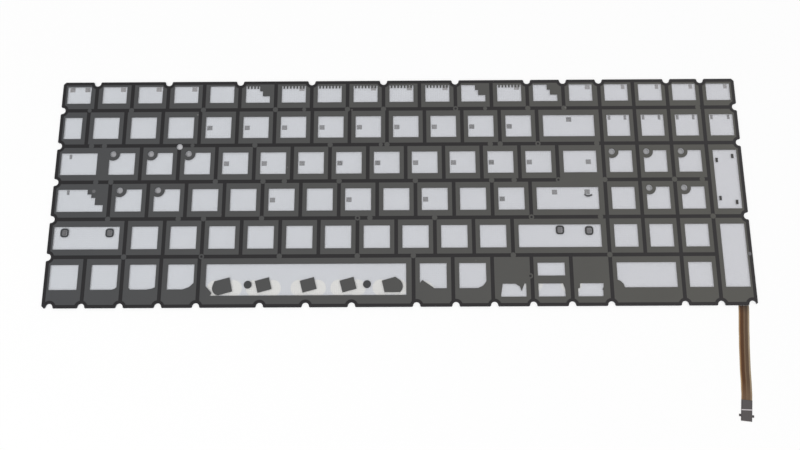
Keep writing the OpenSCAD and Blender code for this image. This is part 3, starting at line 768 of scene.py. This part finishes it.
def lay_print(shape: BMesh, place: Place, low: float, high: float) -> None:
    """Gives a flat shape its thickness and puts it in its place on the mask.

    Args:
        shape: The flat shape, at height 0.
        place: Its origin, from the panel's left front corner.
        low: Height of its underside.
        high: Height of its top.
    """
    thicken(shape, high - low)
    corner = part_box("mask_film")[0]
    move = (corner.x + place[0], corner.y + place[1], low)
    bmesh.ops.translate(shape, verts=shape.verts[:], vec=move)
    bmesh.ops.recalc_face_normals(shape, faces=shape.faces[:])


@dataclass
class PrintedMask:
    """The mask film with its grey print, its marks and the bonding glue on top.

    Attributes:
        ring_size: Outer width and depth of a ring mark.
        ring_corner: How far its corners are rounded.
        ring_wall: Width of its wall.
        ring_places: Each ring's middle, from the panel's left front corner.
        ring_pad: Width and depth of the glue pad that shows inside a ring.
        pad_corner: How far the pad's corners are rounded.
        pad_shift: How far its middle lies from the ring's, in X.
        pad_drop: How far its top lies under the print's.
        corner_segments: Faces across a rounded corner.
        bar_middle: Middle of the curved bar under the last pad of the enter window.
        bar_length: Length of that bar.
        bar_sag: How far its middle lies in front of its ends.
        bar_width: Its width in the middle.
        bar_taper: Share of that width that it loses at its ends.
        bar_steps: Faces along it.
        bar_lift: How far its top lies over the print's.
        edge_vent: Place of the small vent in the right edge line.
        caps_spot: Place of the small spot in the print by the caps window.
        spot_radius: Radius of both.
        spot_segments: Corners of their outline.
        spot_depth: How far both reach into what they lie on.
        spot_lift: How far they stand over it.
        cursor_trim: Outline of the print that slants the first cursor window's left side.
        trim_drop: How far its top lies under the print's.
    """

    ring_size: Place = (4.05 * MM, 4.4 * MM)
    ring_corner: float = 1.35 * MM
    ring_wall: float = 0.85 * MM
    ring_places: Outline = (
        (7.65 * MM, 36.6 * MM), (29.5 * MM, 36.5 * MM), (247.15 * MM, 36.85 * MM), (261.2 * MM, 36.45 * MM),
    )
    ring_pad: Place = (2.1 * MM, 2.5 * MM)
    pad_corner: float = 0.3 * MM
    pad_shift: float = -0.15 * MM
    pad_drop: float = 0.005 * MM
    corner_segments: int = 5
    bar_middle: Place = (261.8 * MM, 53.8 * MM)
    bar_length: float = 3.9 * MM
    bar_sag: float = 0.75 * MM
    bar_width: float = 0.95 * MM
    bar_taper: float = 0.45
    bar_steps: int = 12
    bar_lift: float = 0.002 * MM
    edge_vent: Place = (337.2 * MM, 24.7 * MM)
    caps_spot: Place = (20.05 * MM, 57.4 * MM)
    spot_radius: float = 0.85 * MM
    spot_segments: int = 32
    spot_depth: float = 0.01 * MM
    spot_lift: float = 0.001 * MM
    cursor_trim: Outline = (
        (217.2 * MM, 4.5 * MM), (217.6 * MM, 4.5 * MM), (218.65 * MM, 10.8 * MM), (217.2 * MM, 10.8 * MM),
    )
    trim_drop: float = 0.003 * MM

    def rounded_square(self, size: Place, corner: float) -> BMesh:
        """Starts a flat rectangle round the origin with rounded corners.

        Args:
            size: Its width and depth.
            corner: How far its corners are rounded.

        Returns:
            The shape.
        """
        shape = bmesh.new()
        bmesh.ops.create_grid(shape, x_segments=1, y_segments=1, size=0.5)
        bmesh.ops.scale(shape, verts=shape.verts[:], vec=(*size, 1))
        soften(shape, shape.verts[:], corner, self.corner_segments)
        return shape

    def rings(self, low: float, high: float) -> None:
        """Builds the four ring marks, and the pad that shows inside each.

        Args:
            low: Height of the film's top.
            high: Height of the print's top.
        """
        every = bmesh.new()
        for number, (x, y) in enumerate(self.ring_places, start=1):
            shape = self.rounded_square(self.ring_size, self.ring_corner)
            walls = bmesh.ops.inset_region(
                shape, faces=shape.faces[:], thickness=self.ring_wall, use_boundary=True,
                use_even_offset=True,
            )["faces"]
            inner = [face for face in shape.faces if face not in walls]
            bmesh.ops.delete(shape, geom=inner, context="FACES")
            lay_print(shape, (x, y), low, high)
            part = to_mesh("shift_ring", shape)
            every.from_mesh(part)
            bpy.data.meshes.remove(part)
            pad = self.rounded_square(self.ring_pad, self.pad_corner)
            lay_print(pad, (x + self.pad_shift, y), low, high - self.pad_drop)
            make_piece(f"shift_ring_pad_{number}", pad, RING_PAD)
        made = make_piece("shift_ring_marks", every, MARK_INK)
        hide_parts("shift_rings")

    def curved_bar(self, low: float, high: float) -> None:
        """Builds the curved bar by the enter window's last pad.

        Args:
            low: Height of the film's top.
            high: Height of the bar's top.
        """
        shape = bmesh.new()
        rows = []
        for side in (-1, 1):
            row = []
            for step in range(self.bar_steps + 1):
                share = 2 * step / self.bar_steps - 1
                width = self.bar_width * (1 - self.bar_taper * share ** 4)
                y = self.bar_sag * share ** 2 + side * width / 2
                row.append(shape.verts.new((share * self.bar_length / 2, y, 0)))
            rows.append([shape.edges.new(pair) for pair in zip(row, row[1:])])
        bmesh.ops.bridge_loops(shape, edges=rows[0] + rows[1])
        lay_print(shape, self.bar_middle, low, high)
        make_piece("enter_curved_bar", shape, BAR_INK)

    def spot(self, name: str, place: Place, top: float) -> None:
        """Builds a small round spot.

        Args:
            name: The piece's name.
            place: Its middle, from the panel's left front corner.
            top: Height of what it lies on.
        """
        shape = bmesh.new()
        bmesh.ops.create_circle(shape, cap_ends=True, segments=self.spot_segments, radius=self.spot_radius)
        lay_print(shape, place, top - self.spot_depth, top + self.spot_lift)
        make_piece(name, shape, SPOT_INK)

    def build(self) -> None:
        """Dresses the film, print, marks and glue, and builds the detailed marks."""
        dress(BOND_GLUE, "bond_grid")
        dress(MASK_INK, "mask_print")
        dress(MARK_INK, "ink_marks")
        dress(CLEAR_FILM, "mask_film")
        film_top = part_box("mask_film")[1].z
        print_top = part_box("mask_print")[1].z
        self.rings(film_top, print_top)
        self.curved_bar(film_top, print_top + self.bar_lift)
        self.spot("edge_vent_spot", self.edge_vent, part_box("bond_grid")[1].z)
        self.spot("caps_print_spot", self.caps_spot, print_top)
        trim = flat(self.cursor_trim)
        lay_print(trim, (0, 0), film_top, print_top - self.trim_drop)
        make_piece("cursor_window_trim", trim, MASK_INK)


@dataclass
class PostHoleShades:
    """Grey discs of painted shade under the post holes, each standing for the shade seen down its hole.

    Attributes:
        places: Each hole's middle, from the panel's left front corner.
        bright: Number of the hole whose painted shade is lighter.
        radius: Radius of a disc of painted shade.
        thickness: Its thickness.
    """

    places: Outline = (
        (60.8 * MM, 80.0 * MM), (28.1 * MM, 76.35 * MM), (46.8 * MM, 76.35 * MM), (65.5 * MM, 76.35 * MM),
        (274.7 * MM, 76.35 * MM), (291.75 * MM, 76.35 * MM), (308.8 * MM, 76.35 * MM),
        (32.8 * MM, 57.65 * MM), (51.5 * MM, 57.65 * MM),
        (291.75 * MM, 57.65 * MM), (308.8 * MM, 57.65 * MM),
    )
    bright: int = 1
    radius: float = 1.9 * MM
    thickness: float = 0.01 * MM

    def build(self) -> None:
        """Builds a disc of painted shade under each hole."""
        low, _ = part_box("reflector_sheet")
        for number, (x, y) in enumerate(self.places, start=1):
            shape = disc(self.radius, self.thickness, (low.x + x, low.y + y, low.z - self.thickness))
            # Painted shade: one hole gets a lighter grey, the rest a darker one.
            finish = HOLE_SHADE_BRIGHT if number == self.bright else HOLE_SHADE
            make_piece(f"post_hole_painted_shade_{number}", shape, finish)


@dataclass
class GuideStack:
    """The light guide, the glue on both its sides and the reflector, with pale patches on it.

    Attributes:
        patches: Each patch's middle, from the panel's left front corner, and its radius.
        patch_thickness: Thickness of a patch.
        patch_lift: How far it lies over the reflector.
    """

    patches: tuple[tuple[float, float, float], ...] = (
        (233.4 * MM, 11.0 * MM, 4.4 * MM),
        (251.3 * MM, 10.8 * MM, 5.0 * MM),
        (181.5 * MM, 7.5 * MM, 4.9 * MM),
    )
    patch_thickness: float = 0.01 * MM
    patch_lift: float = 0.002 * MM

    def build(self) -> None:
        """Dresses the stack's nodes and builds the patches."""
        dress(CLEAR_GLUE, "mask_glue", "guide_glue")
        dress(LIGHT_GUIDE, "light_guide")
        dress(PAD_GLUE, "guide_pads")
        dress(REFLECTOR, "reflector_sheet")
        low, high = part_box("reflector_sheet")
        for number, (x, y, radius) in enumerate(self.patches, start=1):
            place = (low.x + x, low.y + y, high.z + self.patch_lift)
            shape = disc(radius, self.patch_thickness, place)
            make_piece(f"reflector_patch_{number}", shape, PATCH_WHITE)


def arc(x: float, y: float, radius: float, start: float, stop: float) -> list[Place]:
    """Works out points along an arc.

    Args:
        x: X of its middle.
        y: Y of its middle.
        radius: Its radius.
        start: Angle of its first point, in degrees.
        stop: Angle of its last point, in degrees.

    Returns:
        The points, at equal steps.
    """
    angles = [math.radians(start + (stop - start) * step / ARC_STEPS) for step in range(ARC_STEPS + 1)]
    return [(x + radius * math.cos(angle), y + radius * math.sin(angle)) for angle in angles]


@dataclass
class LampStrip:
    """The lamp flex under the reflector, its lamps and the print that shades them.

    Attributes:
        lamps: How many lamps there are.
        left_shade: Outline of the first lamp's shade, from the panel's left front corner.
        right_shade: Outline of the last lamp's shade.
    """

    lamps: int = 5
    left_shade: Outline = (
        (88.6 * MM, 14.5 * MM), (90.1 * MM, 7.7 * MM), (84.3 * MM, 6.1 * MM),
        *arc(83.9 * MM, 9.3 * MM, 3.45 * MM, 262, 160), (81.4 * MM, 12.6 * MM),
    )
    right_shade: Outline = (
        (161.2 * MM, 12.6 * MM), (167.6 * MM, 14.4 * MM),
        *arc(167.3 * MM, 9.9 * MM, 3.9 * MM, 68, -48), (162.5 * MM, 7.0 * MM),
    )

    def numbered(self, stem: str) -> list[str]:
        """Returns the names of a node that each lamp has."""
        return [f"{stem}_{number}" for number in range(1, self.lamps + 1)]

    def end_shade(self, name: str, replaced: str, outline: Outline) -> None:
        """Builds the print over an end lamp, with its one round end.

        Args:
            name: The piece's name.
            replaced: The node that it stands for.
            outline: Its outline.
        """
        low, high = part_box(replaced)
        shape = flat(outline)
        lay_print(shape, (0, 0), low.z, high.z)
        made = make_piece(name, shape, MASK_INK)
        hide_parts(replaced)

    def build(self) -> None:
        """Dresses the flex, the lamps and their shades, and builds the two end shades."""
        dress(TAPE, "flex_tape")
        dress(COVER_FILM, "flex_cover")
        dress(COPPER, "flex_copper")
        dress(BASE_FILM, "flex_base")
        dress(SOLDER, "lamp_solder")
        dress(LAMP_CASE, *self.numbered("lamp_case"))
        dress(PHOSPHOR, *self.numbered("lamp_lens"))
        shades = self.numbered("lamp_shade")
        dress(MASK_INK, *shades)
        self.end_shade("left_end_shade", shades[0], self.left_shade)
        self.end_shade("right_end_shade", shades[-1], self.right_shade)


@dataclass
class FlatTail:
    """The flat tail: a film ribbon with raised copper tracks and a stiffened, eared end.

    Attributes:
        route: The middle line from the panel's front edge, as X and Y from where it leaves.
        inset: Distance of that place from the panel's right edge.
        width: Width of the ribbon.
        edge: Heights between which the ribbon's edge stands upright.
        valley: Height of the film between the tracks.
        crest: Height of the film over a track.
        end_length: Length of the stiffened end.
        plate_base: Height of the film under the stiffener.
        plate: Thickness of the stiffener.
        plate_edge: Width of the bevel round its top.
        ear: How far an ear stands out.
        ear_length: Length of an ear.
        ear_from_end: Distance of the ears from the end.
        ear_corner: How far an ear's corners are rounded.
        line_at: Distance of the white line from where the stiffener starts.
        line_width: Width of that line.
        line_gap: How much shorter it is than the stiffener is wide.
        line_thickness: Its thickness.
        line_edge: Width of the bevel on its edges.
        line_depth: How far it reaches into the stiffener.
        line_turn: Angle of that line to the end's own square line, in radians.
    """

    route: Outline = (
        (0, 0), (-0.0002, -0.003), (-0.0005, -0.006), (-0.0008, -0.009), (-0.0011, -0.012),
        (-0.0013, -0.015), (-0.0016, -0.018), (-0.0018, -0.021), (-0.002, -0.024),
        (-0.0022, -0.027), (-0.0024, -0.03), (-0.0025, -0.033), (-0.0026, -0.036),
        (-0.0028, -0.039), (-0.0029, -0.041), (-0.0032, -0.0435),
    )
    inset: float = 6.5 * MM
    width: float = 5.0 * MM
    edge: tuple[float, float] = (0.035 * MM, 0.075 * MM)
    valley: float = 0.1 * MM
    crest: float = 0.125 * MM
    end_length: float = 9.5 * MM
    plate_base: float = 0.12 * MM
    plate: float = 0.2 * MM
    plate_edge: float = 0.03 * MM
    ear: float = 0.9 * MM
    ear_length: float = 1.1 * MM
    ear_from_end: float = 1.9 * MM
    ear_corner: float = 0.2 * MM
    line_at: float = 4.4 * MM
    line_width: float = 0.45 * MM
    line_gap: float = 0.1 * MM
    line_thickness: float = 0.012 * MM
    line_edge: float = 0.003 * MM
    line_depth: float = 0.002 * MM
    line_turn: float = math.radians(4.5)

    def exit_point(self) -> Vector:
        """Returns the place at the panel's front edge where the tail leaves."""
        low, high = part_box("light_guide")
        return Vector((high.x - self.inset, low.y, 0))

    def stations(self) -> list[tuple[Vector, float]]:
        """Works out the ribbon's stations on a smooth curve through the route.

        Returns:
            Each station's place and the heading there, in radians.
        """
        start = self.exit_point()
        points = [start + Vector((x, y, 0)) for x, y in self.route]
        padded = [2 * points[0] - points[1], *points, 2 * points[-1] - points[-2]]
        places = []
        for a, b, c, d in zip(padded, padded[1:], padded[2:], padded[3:]):
            for share in (0.0, 0.5):
                bend = (2 * a - 5 * b + 4 * c - d) * share ** 2 + (3 * (b - c) + d - a) * share ** 3
                places.append((2 * b + (c - a) * share + bend) / 2)
        places.append(points[-1])
        headings = [-math.pi / 2]
        for before, after in zip(places, places[2:] + [places[-1]]):
            headings.append(math.atan2(after.y - before.y, after.x - before.x))
        return list(zip(places, headings))

    def section(self) -> list[Place]:
        """Works out the ribbon's section.

        Returns:
            Its corners, each as a share of the width from the middle and a height.
        """
        valley, crest = self.valley, self.crest
        side = [(0.47, 0.0), (0.5, self.edge[0]), (0.5, self.edge[1]), (0.46, valley), (0.33, valley)]
        right = side + [(0.3, crest), (0.11, crest), (0.08, valley)]
        return right + [(-share, height) for share, height in reversed(right)]

    def ribbon(self) -> Object:
        """Builds the ribbon by drawing its section along the route.

        Returns:
            The ribbon.
        """
        shape = bmesh.new()
        across = shape.verts.layers.float.new("across")
        along = shape.verts.layers.float.new("along")
        (place, heading), *rest = self.stations()
        loop = []
        for share, height in self.section():
            offset = Vector((-math.sin(heading), math.cos(heading), 0)) * share * self.width
            vertex = shape.verts.new(place + offset + Vector((0, 0, height)))
            vertex[across] = 0.5 + share
            loop.append(vertex)
        first_edges = [shape.edges.new((a, b)) for a, b in zip(loop, loop[1:] + loop[:1])]
        edges = first_edges
        length = 0.0
        for next_place, next_heading in rest:
            grown = bmesh.ops.extrude_edge_only(shape, edges=edges)["geom"]
            verts = [part for part in grown if isinstance(part, BMVert)]
            edges = [part for part in grown if isinstance(part, BMEdge)]
            turn = Matrix.Rotation(next_heading - heading, 4, "Z")
            move = Matrix.Translation(next_place) @ turn @ Matrix.Translation(-place)
            bmesh.ops.transform(shape, matrix=move, verts=verts)
            length += (next_place - place).length
            for vertex in verts:
                vertex[along] = length
            place, heading = next_place, next_heading
        bmesh.ops.holes_fill(shape, edges=first_edges + edges)
        bmesh.ops.recalc_face_normals(shape, faces=shape.faces[:])
        made = make_piece("tail_film_ribbon", shape, TAIL_FILM)
        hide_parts("tail_ribbon")
        return made

    def move_to_end(self, shape: BMesh) -> None:
        """Moves a shape drawn along -Y to the ribbon's far end, with its faces outwards.

        Args:
            shape: The shape.
        """
        place, _ = self.stations()[-1]
        (ax, ay), (bx, by) = self.route[-2:]
        heading = math.atan2(by - ay, bx - ax)
        move = Matrix.Translation(place) @ Matrix.Rotation(heading + math.pi / 2, 4, "Z")
        bmesh.ops.transform(shape, matrix=move, verts=shape.verts[:])
        bmesh.ops.recalc_face_normals(shape, faces=shape.faces[:])

    def stiffener(self) -> Object:
        """Builds the stiffener's plate with its two rounded ears and a softened top.

        Returns:
            The plate.
        """
        half = self.width / 2
        ear_low = self.ear_from_end - self.end_length
        ear_high = ear_low + self.ear_length
        right = [
            (half, 0), (half, ear_high), (half + self.ear, ear_high), (half + self.ear, ear_low),
            (half, ear_low), (half, -self.end_length),
        ]
        shape = flat(right + [(-x, y) for x, y in reversed(right)], self.plate_base)
        ear_corners = [vertex for vertex in shape.verts if abs(vertex.co.x) > half + self.ear / 2]
        soften(shape, ear_corners, self.ear_corner, segments=4)
        thicken(shape, self.plate)
        soften_top(shape, self.plate_base + self.plate / 2, self.plate_edge, segments=2)
        across = shape.verts.layers.float.new("across")
        along = shape.verts.layers.float.new("along")
        for vertex in shape.verts:
            vertex[across] = min(max(0.5 + vertex.co.x / self.width, 0.0), 1.0)
            vertex[along] = -vertex.co.y
        self.move_to_end(shape)
        made = make_piece("stiffener_plate", shape, STIFFENER)
        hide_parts("tail_stiffener")
        return made

    def white_line(self) -> Object:
        """Builds the white line printed across the stiffener.

        Returns:
            The line.
        """
        shape = bmesh.new()
        bmesh.ops.create_cube(shape, size=1.0)
        size = (self.width - self.line_gap, self.line_width, self.line_thickness)
        bmesh.ops.scale(shape, verts=shape.verts[:], vec=size)
        soften(shape, shape.edges[:], self.line_edge, segments=1)
        turn = Matrix.Rotation(self.line_turn, 3, "Z")
        bmesh.ops.rotate(shape, verts=shape.verts[:], cent=(0, 0, 0), matrix=turn)
        height = self.plate_base + self.plate + self.line_thickness / 2 - self.line_depth
        bmesh.ops.translate(shape, verts=shape.verts[:], vec=(0, -self.line_at, height))
        self.move_to_end(shape)
        return make_piece("stiffener_line", shape, WHITE_LINE)

    def build(self) -> None:
        made = self.ribbon()
        plate = self.stiffener()
        line = self.white_line()
        dress(TONGUE_FILM, "tail_tongue")
        dress(CONTACTS, "tail_contacts")


@dataclass(frozen=True)
class PhotoCamera:
    """The camera at the photograph's angle, worked out from the panel's edges in the picture.

    Attributes:
        target: The point of the panel's plane at the picture's middle.
        distance: Distance of the camera from it.
        pitch: Angle of the view below the horizon, in radians.
        turn: Turn of the view from the Y axis, in radians.
        roll: Turn of the picture round the view, in radians.
        focal_pixels: Focal length in pixels of the photograph.
        picture_width: Width of the photograph in pixels.
        sensor_width: Width of the camera's sensor, in millimetres as Blender takes it.
        clip: Nearest and farthest distance that is drawn.
    """

    target: tuple[float, float, float] = (0.00067, -0.01743, 0.0)
    distance: float = 0.36868
    pitch: float = math.radians(77.0)
    turn: float = -0.01921
    roll: float = -0.02391
    focal_pixels: float = 760.2
    picture_width: int = 800
    sensor_width: float = 36.0
    clip: tuple[float, float] = (0.01, 20.0)

    def build(self) -> None:
        """Builds the camera and makes it the scene's."""
        data = bpy.data.cameras.new("photo_camera")
        data.sensor_fit = "HORIZONTAL"
        data.sensor_width = self.sensor_width
        data.lens = self.focal_pixels / self.picture_width * self.sensor_width
        data.clip_start, data.clip_end = self.clip
        ahead = Vector((
            math.sin(self.turn) * math.cos(self.pitch),
            math.cos(self.turn) * math.cos(self.pitch),
            -math.sin(self.pitch),
        ))
        side = ahead.cross(Vector((0, 0, 1))).normalized()
        above = side.cross(ahead)
        right = math.cos(self.roll) * side + math.sin(self.roll) * above
        up = math.cos(self.roll) * above - math.sin(self.roll) * side
        axes = Matrix((right, up, -ahead)).transposed().to_4x4()
        made = place_object("photo_camera", data)
        made.matrix_world = Matrix.Translation(Vector(self.target) - ahead * self.distance) @ axes
        bpy.context.scene.camera = made


@dataclass(frozen=True)
class SoftLamp:
    """A square soft lamp that faces the panel.

    Attributes:
        name: The lamp's name.
        place: Where it hangs.
        size: Its side.
        power: Its power in watts.
    """

    name: str
    place: tuple[float, float, float]
    size: float
    power: float

    def build(self) -> None:
        """Hangs the lamp."""
        data = bpy.data.lights.new(self.name, "AREA")
        data.size = self.size
        data.energy = self.power
        made = place_object(self.name, data)
        made.location = self.place
        made.rotation_mode = "QUATERNION"
        made.rotation_quaternion = (-Vector(self.place)).to_track_quat("-Z", "Y")


@dataclass
class Studio:
    """A plain pale floor and soft light at a plain level.

    Attributes:
        floor_size: Side of the floor.
        floor_drop: How far it lies under the panel, so that the two never share a plane.
        floor_colour: Its colour.
        floor_roughness: Its roughness.
        floor_specular: Strength of its plain reflection.
        floor_white: How far the floor is plain white near the panel, where it keeps the shadow.
        white_from: Distances from the panel's middle between which it turns wholly white.
        sky: Strength of the even light from all round.
        lamps: The large soft lamp, and the one opposite.
    """

    floor_size: float = 6.0
    floor_drop: float = 0.02 * MM
    floor_colour: Colour = (0.97, 0.97, 0.97, 1.0)
    floor_roughness: float = 0.9
    floor_specular: float = 0.1
    floor_white: float = 0.6
    white_from: tuple[float, float] = (0.2, 0.6)
    sky: float = 0.55
    lamps: tuple[SoftLamp, ...] = (
        SoftLamp("key_lamp", (-0.7, -0.8, 1.5), size=1.2, power=15.0),
        SoftLamp("fill_lamp", (0.9, 0.5, 1.3), size=1.0, power=5.0),
    )

    def floor_finish(self) -> Material:
        """Builds the floor's finish, which fades to plain white away from the panel.

        Returns:
            The material.
        """
        made = bpy.data.materials.new("studio_floor")
        made.use_nodes = True
        bench = NodeBench(made.node_tree)
        shader = bench.find("BSDF_PRINCIPLED")
        bench.fill(shader, {
            "Base Color": self.floor_colour, "Roughness": self.floor_roughness,
            "Specular IOR Level": self.floor_specular,
        })
        position = bench.add("ShaderNodeTexCoord").outputs["Object"]
        distance = bench.add("ShaderNodeVectorMath", {0: position}, operation="LENGTH").outputs["Value"]
        away = bench.band(distance, *self.white_from)
        far = bench.math("MULTIPLY_ADD", away, 1 - self.floor_white, self.floor_white)
        path = bench.add("ShaderNodeLightPath")
        seen = bench.math("MAXIMUM", path.outputs["Is Camera Ray"], path.outputs["Is Glossy Ray"])
        white = bench.add("ShaderNodeEmission", {"Color": WHITE, "Strength": 1.0})
        share = bench.math("MULTIPLY", seen, far)
        mixed = bench.add("ShaderNodeMixShader", {0: share, 1: shader.outputs[0], 2: white.outputs[0]})
        bench.fill(bench.find("OUTPUT_MATERIAL"), {"Surface": mixed.outputs[0]})
        return made

    def floor(self) -> None:
        """Lays the floor just under what the panel lies on."""
        shape = bmesh.new()
        bmesh.ops.create_grid(shape, x_segments=1, y_segments=1, size=self.floor_size / 2)
        bmesh.ops.translate(shape, verts=shape.verts[:], vec=(0, 0, -self.floor_drop))
        mesh = to_mesh("studio_floor", shape)
        mesh.materials.append(self.floor_finish())
        place_object("studio_floor", mesh)

    def world(self) -> None:
        """Sets the even light, seen white by the camera, in reflections and through clear film."""
        world = bpy.data.worlds.new("studio_world")
        world.use_nodes = True
        bench = NodeBench(world.node_tree)
        path = bench.add("ShaderNodeLightPath")
        mirrored = bench.math("MAXIMUM", path.outputs["Is Glossy Ray"], path.outputs["Is Transmission Ray"])
        shown = bench.math("MAXIMUM", path.outputs["Is Camera Ray"], mirrored)
        strength = bench.math("MULTIPLY_ADD", shown, 1.0 - self.sky, self.sky)
        bench.fill(bench.find("BACKGROUND"), {"Color": WHITE, "Strength": strength})
        bpy.context.scene.world = world

    def build(self) -> None:
        """Builds the floor, the lamps and the world, and sets plain colours."""
        self.floor()
        for lamp in self.lamps:
            lamp.build()
        self.world()
        bpy.context.scene.view_settings.view_transform = "Standard"


def main() -> None:
    """Builds the camera, the tail and the rest of the panel, then the studio."""
    logging.basicConfig(level=logging.INFO, format="%(name)s: %(message)s")
    for part in (
        PhotoCamera(), FlatTail(), PrintedMask(), PostHoleShades(), GuideStack(), LampStrip(), Studio()
    ):
        LOG.info("building %s", type(part).__name__)
        part.build()


if __name__ == "__main__":
    main()
